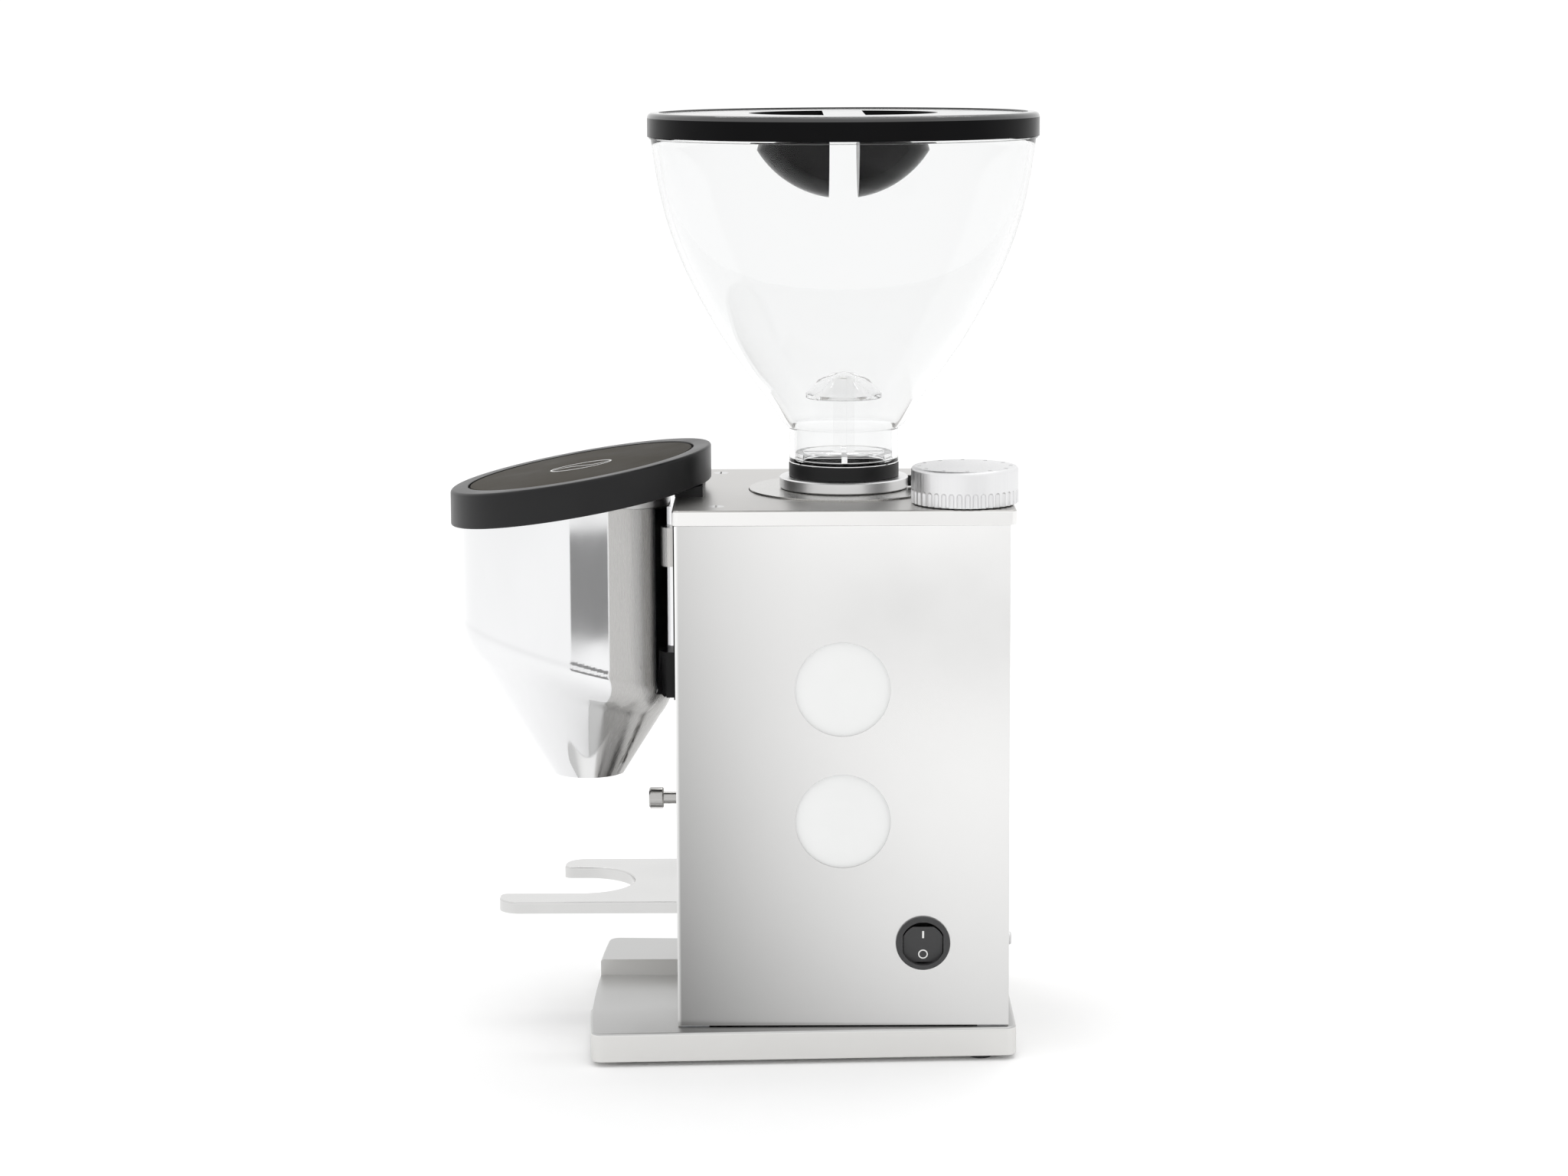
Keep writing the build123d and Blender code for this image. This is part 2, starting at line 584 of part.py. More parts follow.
def make_fan():
    """A cooling fan under the motor: a hub, a disc and nine straight blades."""
    low = MOTOR_LOW - 11
    fan = pipe(8, SHAFT_R, low, low + 9, 0, BURR_Y) + pipe(29, 7, low, low + 1.5, 0, BURR_Y)
    for n in range(9):
        blade = block(-0.7, 0.7, 7, 29, low, low + 9)
        fan += Pos(0, BURR_Y, 0) * Rot(0, 0, 40 * n) * blade
    return fan


def motor_screw_places():
    return [(MOTOR_SCREW_R * cos(a), BURR_Y + MOTOR_SCREW_R * sin(a)) for a in (0, pi / 2, pi, 3 * pi / 2)]


def make_motor_screws():
    return group([screw(3.2, 2.4, 1.9, BRIDGE_T + 8, CHAMBER_LOW + 2.4, x, y)
                  for x, y in motor_screw_places()])


def screw_shanks():
    """The holes that the motor's screws need in the bridge and the upper bell."""
    return group([post(1.9, BRIDGE_LOW - 8, CHAMBER_LOW + 1, x, y) for x, y in motor_screw_places()])


def make_bridge():
    """The plate across the case that carries the motor below and the chamber above."""
    plate = block(-IN_X + 2, IN_X - 2, -IN_Y + 0.5, IN_Y - 0.5, BRIDGE_LOW, CHAMBER_LOW)
    plate -= post(BEARING_R + 2, BRIDGE_LOW - 1, CHAMBER_LOW + 1, 0, BURR_Y)
    plate -= screw_shanks()
    for sx, sy in four(1, 1):
        plate -= block(*sorted((sx * (IN_X - POST), sx * IN_X)),
                       *sorted((sy * (IN_Y - POST), sy * IN_Y)), BRIDGE_LOW - 1, CHAMBER_LOW + 1)
    plate -= block(-HALF_W, -HALF_W + 30, FRONT, FRONT + 24, BRIDGE_LOW - 1, CHAMBER_LOW + 1)
    for sx, sy in four(1, 1):
        ear = block(*sorted((sx * (IN_X - POST - 8), sx * (IN_X - POST_T))),
                    *sorted((sy * (IN_Y - POST_T - 4), sy * (IN_Y - POST_T))), BRIDGE_LOW, CHAMBER_LOW)
        if sx > 0 or sy > 0:
            plate += ear
    return plate


# ---- burrs, chamber and adjuster -------------------------------------------------------
def make_chamber():
    """The grinding chamber, with a boss that guides the upper carrier and the ring."""
    chamber = turned([(SHAFT_R + 1.2, CHAMBER_LOW), (CHAMBER_R, CHAMBER_LOW),
                      (CHAMBER_R, CHAMBER_SHOULDER), (BOSS_R, CHAMBER_SHOULDER),
                      (BOSS_R, CARRIER_TOP - 0.2), (BORE_R, CARRIER_TOP - 0.2),
                      (BORE_R, UPPER_BURR_LOW - 0.5), (BURR_R + 3, UPPER_BURR_LOW - 0.5),
                      (BURR_R + 3, CHAMBER_FLOOR), (SHAFT_R + 1.2, CHAMBER_FLOOR)])
    chamber -= block(-DUCT_HALF_W, DUCT_HALF_W, BURR_Y - CHAMBER_R - 5, BURR_Y - BURR_R,
                     DUCT_LOW, DUCT_LOW + DUCT_H)
    for x, y in motor_screw_places():
        chamber -= post(3.4, CHAMBER_LOW - 1, CHAMBER_LOW + 2.6, x, y)
    return chamber


def burr_grooves(face_z, up):
    """Slanted radial grooves that leave the cutting teeth standing."""
    grooves = []
    for n in range(18):
        depth = 1.6 if up else -1.6
        z0, z1 = sorted((face_z - depth, face_z + depth))
        cut = Pos(2.0, 0, 0) * block(-0.9, 0.9, BURR_EYE_R - 1, BURR_R - 3.5, z0, z1)
        grooves.append(Pos(0, BURR_Y, 0) * Rot(0, 0, 20 * n) * Rot(0, 0, 12) * cut)
    return group(grooves)


BURR_SCREW_R = 19.6


def burr_screw_places():
    return [(BURR_SCREW_R * cos(radians(120 * n + 10)), BURR_Y + BURR_SCREW_R * sin(radians(120 * n + 10)))
            for n in range(3)]


def make_lower_burr():
    burr = pipe(BURR_R, BURR_EYE_R, LOWER_BURR_LOW, LOWER_BURR_TOP, 0, BURR_Y)
    burr -= burr_grooves(LOWER_BURR_TOP, True)
    for x, y in burr_screw_places():
        burr -= post(1.7, LOWER_BURR_LOW - 1, LOWER_BURR_TOP + 1, x, y)
        burr -= post(3.0, LOWER_BURR_TOP - 3.0, LOWER_BURR_TOP + 1, x, y)
    return burr


def make_upper_burr():
    top = UPPER_BURR_LOW + BURR_T
    burr = pipe(BURR_R, BURR_EYE_R, UPPER_BURR_LOW, top, 0, BURR_Y)
    burr -= burr_grooves(UPPER_BURR_LOW, False)
    for x, y in burr_screw_places():
        burr -= post(1.7, UPPER_BURR_LOW - 1, top + 1, x, y)
        burr -= post(3.0, UPPER_BURR_LOW - 1, UPPER_BURR_LOW + 3.0, x, y)
    return burr


def make_lower_burr_screws():
    return group([post(3.0, LOWER_BURR_TOP - 3.0, LOWER_BURR_TOP - 1.0, x, y)
                  + post(1.7, LOWER_BURR_LOW - 4, LOWER_BURR_TOP - 3.0, x, y)
                  for x, y in burr_screw_places()])


def make_upper_burr_screws():
    top = UPPER_BURR_LOW + BURR_T
    return group([post(3.0, UPPER_BURR_LOW + 1.0, UPPER_BURR_LOW + 3.0, x, y)
                  + post(1.7, UPPER_BURR_LOW + 3.0, top + 3, x, y) for x, y in burr_screw_places()])


def make_lower_carrier():
    """The turntable on the motor's shaft, with two vanes that sweep grounds to the duct."""
    hub = pipe(BURR_R - 0.5, SHAFT_R, ROTOR_PLATE_LOW, LOWER_BURR_LOW, 0, BURR_Y)
    hub += pipe(BURR_EYE_R - 2, SHAFT_R, LOWER_BURR_LOW, LOWER_BURR_LOW + 2, 0, BURR_Y)
    for n in range(2):
        vane = block(BURR_R - 1.5, BURR_R + 2.2, -1.5, 1.5, ROTOR_PLATE_LOW, ROTOR_PLATE_LOW + 5)
        hub += Pos(0, BURR_Y, 0) * Rot(0, 0, 180 * n) * vane
    for x, y in burr_screw_places():
        hub -= post(1.7, LOWER_BURR_LOW - 4, LOWER_BURR_LOW + 1, x, y)
    return hub


def make_upper_carrier():
    """Carries the upper burr. It slides in the chamber's boss and its stem takes the collar."""
    low = UPPER_BURR_LOW + BURR_T
    carrier = turned([(BEAN_BORE_R, low), (BORE_R - RUN_GAP, low), (BORE_R - RUN_GAP, CARRIER_TOP),
                      (NECK_R, CARRIER_TOP), (NECK_R, RING_TOP + MOVE_GAP),
                      (BEAN_BORE_R, RING_TOP + MOVE_GAP)])
    for x, y in burr_screw_places():
        carrier -= post(1.7, low - 1, low + 3, x, y)
    return carrier


def make_collar():
    """The bright collar that is screwed on the carrier's stem and takes the hopper's spigot."""
    low = RING_TOP + MOVE_GAP
    collar = pipe(COLLAR_R, SPIGOT_R + MOVE_GAP, low, COLLAR_TOP, 0, BURR_Y)
    rims = collar.edges().filter_by(GeomType.CIRCLE).sort_by(SortBy.RADIUS)[-2:]
    collar = chamfer(rims, 0.5)
    return collar - bar_y(2.2, BURR_Y + SPIGOT_R - 2, BURR_Y + COLLAR_R + 2, 0, LOCK_Z)


LOCK_Z = COLLAR_TOP - COLLAR_H / 2


def make_lock_screw():
    """The small black screw in the collar that pinches the hopper's spigot."""
    tip = BURR_Y + SPIGOT_R + 2 * MOVE_GAP
    shank = bar_y(2.2, tip, BURR_Y + COLLAR_R, 0, LOCK_Z)
    return shank + bar_y(2.35, BURR_Y + COLLAR_R, BURR_Y + COLLAR_R + 3.0, 0, LOCK_Z)


def tooth_points(teeth, phase, backlash):
    """The outline of a gear: each tooth has its two flanks as points on an involute curve."""
    pitch = GEAR_MODULE * teeth / 2
    base = pitch * cos(radians(20))
    root, tip = pitch - 1.25 * GEAR_MODULE, pitch + 0.95 * GEAR_MODULE
    half = pi / (2 * teeth) - backlash / (2 * pitch)

    def involute(r):
        a = sqrt(max(r * r - base * base, 0.0)) / base
        return a - atan2(a, 1)

    def side(r):
        return half + involute(pitch) - involute(max(r, base))

    levels = [root, max(base, root + 0.1), (base + pitch) / 2, pitch, (pitch + tip) / 2, tip]
    levels = sorted(set(levels))
    points = []
    for n in range(teeth):
        centre = phase + 2 * pi * n / teeth
        points += [(r, centre - side(r)) for r in levels]
        points += [(r, centre + side(r)) for r in reversed(levels)]
    return [(r * cos(a), r * sin(a)) for r, a in points]


def gear(teeth, phase, z0, z1, x, y):
    outline = Polyline([(px, py, 0) for px, py in tooth_points(teeth, phase, 0.25)], close=True)
    return Pos(x, y, z0) * extrude(make_face(outline), z1 - z0, dir=(0, 0, 1))


def make_ring():
    """The adjusting ring: a flat disc in the top plate, a skirt on the boss, a toothed rim."""
    a = radians(KNOB_BEARING)
    ring = gear(RING_TEETH, a, GEAR_LOW, GEAR_TOP, 0, BURR_Y)
    ring -= post(BOSS_R + 3, GEAR_LOW - 1, GEAR_TOP + 1, 0, BURR_Y)
    ring += turned([(BOSS_R + RUN_GAP, GEAR_LOW - 0.5), (BOSS_R + 4, GEAR_LOW - 0.5),
                    (BOSS_R + 4, PLATE_LOW + 1.2), (RING_R, PLATE_LOW + 1.2),
                    (RING_R, RING_TOP), (NECK_R + RUN_GAP, RING_TOP),
                    (NECK_R + RUN_GAP, CARRIER_TOP + CARRIER_LIFT + MOVE_GAP),
                    (BOSS_R + RUN_GAP, CARRIER_TOP + CARRIER_LIFT + MOVE_GAP)])
    return ring


SPINDLE_BUSH_R = 7.0


def make_pinion():
    """Pinion and spindle in one piece: a tooth gap faces the ring."""
    a = radians(KNOB_BEARING) + pi + pi / PINION_TEETH
    spindle = post(SPINDLE_R, GEAR_LOW - 5, KNOB_LOW + KNOB_H - 4, KNOB_X, KNOB_Y)
    return gear(PINION_TEETH, a, GEAR_LOW, GEAR_TOP, KNOB_X, KNOB_Y) + spindle


KNOB_LOW = PLATE_TOP + KNOB_GAP


def make_spindle_bush():
    return pipe(SPINDLE_BUSH_R, SPINDLE_R + RUN_GAP, PLATE_LOW, PLATE_TOP, KNOB_X, KNOB_Y)


def make_knob():
    """The adjusting knob: a fluted band below, a smooth rounded cap, and a ring of dots."""
    cap = post(KNOB_R, KNOB_LOW, KNOB_LOW + KNOB_H, KNOB_X, KNOB_Y)
    cap = fillet(cap.edges().group_by(Axis.Z)[-1], 1.6)
    cap = chamfer(cap.edges().group_by(Axis.Z)[0], 0.4)
    flutes = []
    for n in range(KNOB_FLUTES):
        a = 2 * pi * n / KNOB_FLUTES
        x, y = KNOB_X + (KNOB_R + 0.35) * cos(a), KNOB_Y + (KNOB_R + 0.35) * sin(a)
        top = KNOB_LOW + KNOB_FLUTE_H - KNOB_FLUTE_R
        flutes.append(post(KNOB_FLUTE_R, KNOB_LOW - 1, top, x, y) + Pos(x, y, top) * Sphere(KNOB_FLUTE_R))
    dots = []
    for n in range(KNOB_DOTS):
        a = 2 * pi * n / KNOB_DOTS
        r = 0.85 * KNOB_R
        dots.append(post(0.9, KNOB_LOW + KNOB_H - 0.5, KNOB_LOW + KNOB_H + 1,
                         KNOB_X + r * cos(a), KNOB_Y + r * sin(a)))
    cap -= group(flutes)
    cap -= group(dots)
    return cap - post(SPINDLE_R, KNOB_LOW - 1, KNOB_LOW + KNOB_H - 4, KNOB_X, KNOB_Y)


# ---- hopper ----------------------------------------------------------------------------
def bell_face(inset):
    """Half the hopper's section, grown inwards by an inset from its outside."""
    slope = (HOPPER_KNEE_R - NECK_R - HOPPER_FOOT_OUT) / HOPPER_KNEE_H
    lean = atan2(slope, 1)
    dr = inset / cos(lean)
    low_z = BELL_LOW - (0 if inset == 0 else 1)
    line = FilletPolyline((NECK_R + HOPPER_FOOT_OUT - dr - (BELL_LOW - low_z) * slope, 0, low_z),
                          (HOPPER_KNEE_R - (dr + inset) / 2 - 0.4 * (dr - inset), 0,
                           BELL_LOW + HOPPER_KNEE_H),
                          (HOPPER_R - inset, 0, HOPPER_TOP + (0 if inset == 0 else 1)),
                          radius=HOPPER_BELL_R - inset)
    first, last = line @ 0, line @ 1
    return make_face([line, Line(last, (0, 0, last.Z)), Line((0, 0, last.Z), (0, 0, first.Z)),
                      Line((0, 0, first.Z), first)])


def make_hopper():
    """The clear bell with its neck, a spigot that enters the collar, and a small rim lip."""
    outer = revolve(bell_face(0), Axis.Z)
    outer += post(NECK_R, NECK_LOW, BELL_LOW) + post(SPIGOT_R, RING_TOP + MOVE_GAP + 0.3, NECK_LOW)
    outer += pipe(HOPPER_R + 0.6, HOPPER_R - 2, HOPPER_TOP - 2.2, HOPPER_TOP - 1.1)
    inner = revolve(bell_face(HOPPER_WALL), Axis.Z)
    inner += post(SPIGOT_R - 2.4, RING_TOP - 5, NECK_LOW + 1.5)
    inner += post(NECK_R - HOPPER_WALL, NECK_LOW + 1.5, BELL_LOW)
    return Pos(0, BURR_Y, 0) * (outer - inner)


def make_neck_ring():
    ring = pipe(NECK_R, SPIGOT_R, COLLAR_TOP + 0.05, NECK_LOW, 0, BURR_Y)
    return fillet(ring.edges().filter_by(GeomType.CIRCLE).sort_by(SortBy.RADIUS)[-2:], 0.5)


GUARD_R = 16.4


def make_bean_guard():
    """A clear mushroom over the burr's mouth: a domed cap, a cross-shaped stem, a ribbed foot."""
    low = NECK_LOW + 1.5
    top = low + 38.0
    cap = turned([(0, top - 3), (3, top - 3), (GUARD_R - 1, top - 11), (GUARD_R, top - 11),
                  (GUARD_R, top - 9.4), (11, top - 3.6), (5, top - 0.6), (0, top)])
    stem = block(-4.6, 4.6, BURR_Y - 1.2, BURR_Y + 1.2, low, top - 4)
    stem += block(-1.2, 1.2, BURR_Y - 4.6, BURR_Y + 4.6, low, top - 4)
    foot = pipe(NECK_R - HOPPER_WALL - 0.2, NECK_R - HOPPER_WALL - 3.4, low, low + 3.0, 0, BURR_Y)
    reach = NECK_R - HOPPER_WALL - 1.5
    foot += block(-reach, reach, BURR_Y - 1.2, BURR_Y + 1.2, low, low + 3.0)
    foot += block(-1.2, 1.2, BURR_Y - reach, BURR_Y + reach, low, low + 3.0)
    return cap + stem + foot


def make_bowl(r):
    """A round hollow's surface: a ball centred a little above the lid's top."""
    ball = Pos(0, 0, LID_TOP + GRIP_RISE) * Sphere(r)
    return ball & post(LID_R, LID_TOP - 60, LID_TOP - 0.5)


def make_lid():
    """The black lid: a cap with a skirt, and a round hollow crossed by a grip bar."""
    cap = post(LID_R, LID_LOW, LID_TOP)
    cap = fillet(cap.edges().group_by(Axis.Z)[-1], 2.2)
    cap -= post(LID_R - 5.0, LID_TOP - 0.5, LID_TOP + 1)
    cap -= post(HOPPER_R + 0.6 + MOVE_GAP, LID_LOW - 1, HOPPER_TOP - 1.0 + MOVE_GAP)
    cap -= pipe(HOPPER_R + MOVE_GAP, HOPPER_R - HOPPER_WALL - 0.9, LID_LOW, HOPPER_TOP + MOVE_GAP)
    inside = post(HOPPER_R - HOPPER_WALL - 0.9 - LID_WALL, LID_LOW - 1, LID_TOP - LID_WALL - 0.5)
    cap -= inside
    bowl = make_bowl(GRIP_R)
    hollow = Pos(0, 0, LID_TOP + GRIP_RISE) * Sphere(GRIP_R - LID_WALL)
    cap += bowl
    half_bar = GRIP_BAR / 2
    for side in (-1, 1):
        near, far = side * (half_bar + LID_WALL), side * LID_R
        cap -= hollow & block(-LID_R, LID_R, *sorted((near, far)), LID_TOP - 60, LID_TOP + 5)
    under = block(-LID_R, LID_R, -half_bar, half_bar, LID_TOP - 60, LID_TOP - LID_WALL - 0.5)
    cap -= under & post(GRIP_R, LID_TOP - 60, LID_TOP)
    return Pos(0, BURR_Y, 0) * cap


# ---- duct, funnel, tilted head ---------------------------------------------------------
def duct_outer(y0, y1):
    return block(-DUCT_HALF_W - DUCT_WALL, DUCT_HALF_W + DUCT_WALL, y0, y1,
                 DUCT_LOW - DUCT_WALL, DUCT_LOW + DUCT_H + DUCT_WALL)


def make_duct():
    """The passage that takes grounds from the chamber to the funnel."""
    start = BURR_Y - CHAMBER_R + 2
    end = FRONT - FUNNEL_STANDOFF - 2
    duct = duct_outer(end, start) - post(CHAMBER_R, DUCT_LOW - 9, DUCT_LOW + 30, 0, BURR_Y)
    return duct - block(-DUCT_HALF_W, DUCT_HALF_W, end - 1, start + 1, DUCT_LOW, DUCT_LOW + DUCT_H)


def tilted_slab(low, high, margin=90.0):
    """A flat slab on the head's slant between two heights above its underside on its axis."""
    scale = cos(radians(HEAD_TILT))
    t = (high - low) * scale
    slab = Box(2 * margin, 2 * margin, t)
    middle = HEAD_LOW_Z + (low + high) / 2
    return Pos(0, HEAD_Y, middle) * Rot(HEAD_TILT, 0, 0) * slab


def funnel_body(inset):
    """What is inside both an upright cylinder and a cone that opens upwards."""
    r = FUNNEL_R - inset
    low = FUNNEL_MOUTH_Z - (2 if inset else 0)
    high = HEAD_LOW_Z + 20
    body = post(r, low, high, 0, FUNNEL_Y)
    grown = inset * sqrt(1 + FUNNEL_SLOPE ** 2)
    r_low = FUNNEL_MOUTH_R - grown - FUNNEL_SLOPE * (FUNNEL_MOUTH_Z - low)
    r_high = FUNNEL_MOUTH_R - grown + FUNNEL_SLOPE * (high - FUNNEL_MOUTH_Z)
    cone = Pos(0, MOUTH_Y, (low + high) / 2) * Cone(r_low, r_high, high - low)
    return body & cone


def make_funnel():
    """The bright funnel: a cylinder that runs into a slanted cone with an open mouth."""
    outer = funnel_body(0.0)
    crease = outer.edges().filter_by(lambda e: e.bounding_box().size.Z > 8 and e.length > 100)
    outer = fillet(crease, 9.0)
    inner = fillet(funnel_body(FUNNEL_WALL).edges().filter_by(
        lambda e: e.bounding_box().size.Z > 8 and e.length > 100), 7.8)
    funnel = (outer - inner) - tilted_slab(0, 60, 120)
    funnel -= duct_outer(FRONT - FUNNEL_STANDOFF - 2.5, FRONT)
    return funnel


BRACKET_SCREW_R = 2.0


def bracket_screw_places():
    return [(x, z) for z in (DUCT_LOW - 17.5, FUNNEL_BRACKET_Z + 12) for x in (-10, 10)]


BRACKET_HALF_W = 19.0
BRACKET_T = 2.2
BRACKET_RIB_HALF_W = 6.0
BRACKET_FOOT_HALF_W = 14.0
BRACKET_FOOT_REACH = 12.5
BRACKET_FOOT_H = 20.0
SEAT_WIRE_HALF = 5.0
SEAT_WIRE_Y = FRONT + 4.5


def make_funnel_bracket(funnel_solid):
    """The black plate behind the funnel, with a rib that touches it and a foot below."""
    top = PLATE_LOW - 0.4
    bracket = block(-BRACKET_HALF_W, BRACKET_HALF_W, FRONT - BRACKET_T, FRONT, FUNNEL_BRACKET_Z, top)
    bracket += block(-BRACKET_RIB_HALF_W, BRACKET_RIB_HALF_W, FRONT - FUNNEL_STANDOFF - 1, FRONT,
                     FUNNEL_BRACKET_Z, top)
    bracket += block(-BRACKET_FOOT_HALF_W, BRACKET_FOOT_HALF_W, FRONT - BRACKET_FOOT_REACH, FRONT,
                     FUNNEL_BRACKET_Z, FUNNEL_BRACKET_Z + BRACKET_FOOT_H)
    bracket -= funnel_solid
    return bracket - duct_outer(FRONT - 30, FRONT + 1)


def make_bracket_screws():
    screws = []
    for x, z in bracket_screw_places():
        shank = bar_y(BRACKET_SCREW_R, FRONT, FRONT + SHEET_T, x, z)
        head = bar_y(3.4, FRONT + SHEET_T, FRONT + SHEET_T + 2.4, x, z)
        screws.append(shank + head)
    return group(screws)


def make_head_housing():
    """The black tilted head: a shallow drum with upright walls and a slanted top."""
    drum = post(HEAD_R, HEAD_LOW_Z - 30, HEAD_LOW_Z + 60, 0, HEAD_Y) & tilted_slab(0, HEAD_T)
    top = drum.faces().sort_by(Axis.Z)[-1]
    drum = fillet(top.edges(), 1.6)
    cavity = post(HEAD_R - HEAD_WALL, HEAD_LOW_Z - 30, HEAD_LOW_Z + 60, 0, HEAD_Y)
    drum -= cavity & tilted_slab(HEAD_WALL, HEAD_T - HEAD_GLASS_T - 1.6)
    recess = post(HEAD_GLASS_R + 0.35, HEAD_LOW_Z - 30, HEAD_LOW_Z + 60, 0, HEAD_Y)
    drum -= recess & tilted_slab(HEAD_T - HEAD_GLASS_T, HEAD_T + 20)
    window = post(HEAD_GLASS_R - 2.5, HEAD_LOW_Z - 30, HEAD_LOW_Z + 60, 0, HEAD_Y)
    drum -= window & tilted_slab(HEAD_WALL, HEAD_T + 20)
    drum -= block(-SEAT_WIRE_HALF, SEAT_WIRE_HALF, SEAT_WIRE_Y - 3, SEAT_WIRE_Y + 3,
                  HEAD_LOW_Z, HEAD_LOW_Z + 13)
    return drum


def make_head_glass():
    disc = post(HEAD_GLASS_R, HEAD_LOW_Z - 30, HEAD_LOW_Z + 60, 0, HEAD_Y)
    disc &= tilted_slab(HEAD_T - HEAD_GLASS_T, HEAD_T - 0.25)
    return disc


def make_head_board():
    board = post(HEAD_GLASS_R - 6, HEAD_LOW_Z - 30, HEAD_LOW_Z + 60, 0, HEAD_Y)
    board &= tilted_slab(HEAD_T - HEAD_GLASS_T - 2.6, HEAD_T - HEAD_GLASS_T)
    chips = block(-14, 14, HEAD_Y - 10, HEAD_Y + 10, HEAD_LOW_Z - 30, HEAD_LOW_Z + 60)
    return board + (chips & tilted_slab(HEAD_T - HEAD_GLASS_T - 6, HEAD_T - HEAD_GLASS_T - 2.6))


def make_head_seat():
    """The black wedge that carries the head on the top plate, hollow for its lead."""
    front = FRONT - PLATE_OVER_FRONT
    wedge = block(-24, 24, front, front + 12, PLATE_TOP, PLATE_TOP + 14)
    wedge -= tilted_slab(0, 60, 120)
    return wedge - block(-SEAT_WIRE_HALF, SEAT_WIRE_HALF, SEAT_WIRE_Y - 3, SEAT_WIRE_Y + 3,
                         PLATE_TOP - 1, PLATE_TOP + 20)


# ---- fork, button ----------------------------------------------------------------------
FORK_IN = FRONT + 15.0


def make_fork():
    """A flat polished plate with a round-ended slot. Its +X arm is the longer one."""
    low = FORK_TOP_Z - FORK_T
    slot_y = FRONT - FORK_ROOT - FORK_SLOT_HALF_W
    plate = block(-FORK_HALF_W, FORK_HALF_W, FRONT - FORK_LONG_ARM, FORK_IN, low, FORK_TOP_Z)
    plate -= block(-FORK_HALF_W - 1, 0, FRONT - FORK_LONG_ARM - 1, FRONT - FORK_SHORT_ARM, low - 1,
                   FORK_TOP_Z + 1)
    plate -= block(-FORK_SLOT_HALF_W, FORK_SLOT_HALF_W, FRONT - FORK_LONG_ARM - 1, slot_y, low - 1,
                   FORK_TOP_Z + 1)
    plate -= post(FORK_SLOT_HALF_W, low - 1, FORK_TOP_Z + 1, 0, slot_y)
    upright = plate.edges().filter_by(Axis.Z)
    outer = upright.filter_by(lambda e: abs(e.center().X) > FORK_HALF_W - 0.5
                              and e.center().Y < FRONT - FORK_SHORT_ARM + 1)
    plate = fillet(outer, FORK_TIP_R)
    upright = plate.edges().filter_by(Axis.Z)
    inner = upright.filter_by(lambda e: abs(abs(e.center().X) - FORK_SLOT_HALF_W) < 0.5
                              and e.center().Y < FRONT - FORK_SHORT_ARM + 1)
    plate = fillet(inner, 3.0)
    plate = fillet(plate.faces().sort_by(Axis.Z)[-1].edges().filter_by(
        lambda e: e.center().Y < FRONT - 1), 0.7)
    for sx in (-1, 1):
        plate -= post(2.5, low - 1, FORK_TOP_Z + 1, sx * 20, FORK_IN - 6)
    return plate


def make_fork_bracket():
    low = FORK_TOP_Z - FORK_T
    shelf = block(-34, 34, FRONT + SHEET_T, FORK_IN, low - 4, low)
    shelf += block(-34, 34, FRONT + SHEET_T, FRONT + SHEET_T + 3, low - 26, low)
    for sx in (-1, 1):
        shelf += block(sx * 30 - 2, sx * 30 + 2, FRONT + SHEET_T, FORK_IN - 2, low - 20, low)
        shelf -= post(2.5, low - 5, low + 1, sx * 20, FORK_IN - 6)
    return shelf


def make_fork_screws():
    return group([screw(4.2, 2.6, 2.5, FORK_T + 8, FORK_TOP_Z + 2.6, sx * 20, FORK_IN - 6)
                  for sx in (-1, 1)])


BUSH_R = 4.0
BUSH_IN = FRONT + 6.0
BUTTON_TAIL = FRONT + 18.5
WALL_Y = FRONT + 16.0
LEVER_Y = BUTTON_TAIL + 0.6
LEVER_ARM = 16.0


def make_button():
    """The dose button: a round head, a stem through the bush, a stop collar and a tail."""
    face = FRONT - BUTTON_REACH
    head = bar_y(BUTTON_R, face, face + BUTTON_HEAD_L, 0, BUTTON_Z)
    head = chamfer(head.edges().filter_by(GeomType.CIRCLE), 0.6)
    button = head + bar_y(BUTTON_STEM_R, face + BUTTON_HEAD_L, BUSH_IN + 1, 0, BUTTON_Z)
    button += bar_y(4.4, BUSH_IN + 0.1, BUSH_IN + 1.1, 0, BUTTON_Z)
    return button + bar_y(1.2, BUSH_IN + 1, BUTTON_TAIL, 0, BUTTON_Z)


def make_button_bush():
    bush = bar_y(BUSH_R, FRONT, BUSH_IN, 0, BUTTON_Z) + bar_y(4.9, FRONT - 2.0, FRONT, 0, BUTTON_Z)
    bush += bar_y(6.0, FRONT + SHEET_T, FRONT + SHEET_T + 2.2, 0, BUTTON_Z)
    return bush - bar_y(BUTTON_STEM_R + RUN_GAP, FRONT - 3, BUSH_IN + 1, 0, BUTTON_Z)


def make_button_spring():
    """The return spring, drawn at the length that it has when the button is pressed."""
    start = BUSH_IN + 1.1
    length = WALL_Y - start - BUTTON_TRAVEL - 0.6
    turns = 4
    coil = Helix(pitch=(length - 0.8) / turns, height=length - 0.8, radius=2.4)
    section = Plane(origin=coil @ 0, z_dir=coil % 0) * Circle(0.35)
    return Pos(0, start + 0.4, BUTTON_Z) * Rot(-90, 0, 0) * sweep(section, coil, is_frenet=True)


def make_button_bracket():
    """The angle behind the front panel that holds the small switch."""
    wall = block(-22, 18, WALL_Y, WALL_Y + 1.2, BUTTON_Z - 12, BUTTON_Z + 8)
    wall -= bar_y(2.0, WALL_Y - 1, WALL_Y + 2, 0, BUTTON_Z)
    foot = block(-22, 18, FRONT + SHEET_T, WALL_Y, BUTTON_Z - 12, BUTTON_Z - 10.8)
    shelf = block(-22, 18, WALL_Y + 1.2, WALL_Y + 17, BUTTON_Z - 12, BUTTON_Z - 10.8)
    return wall + foot + shelf


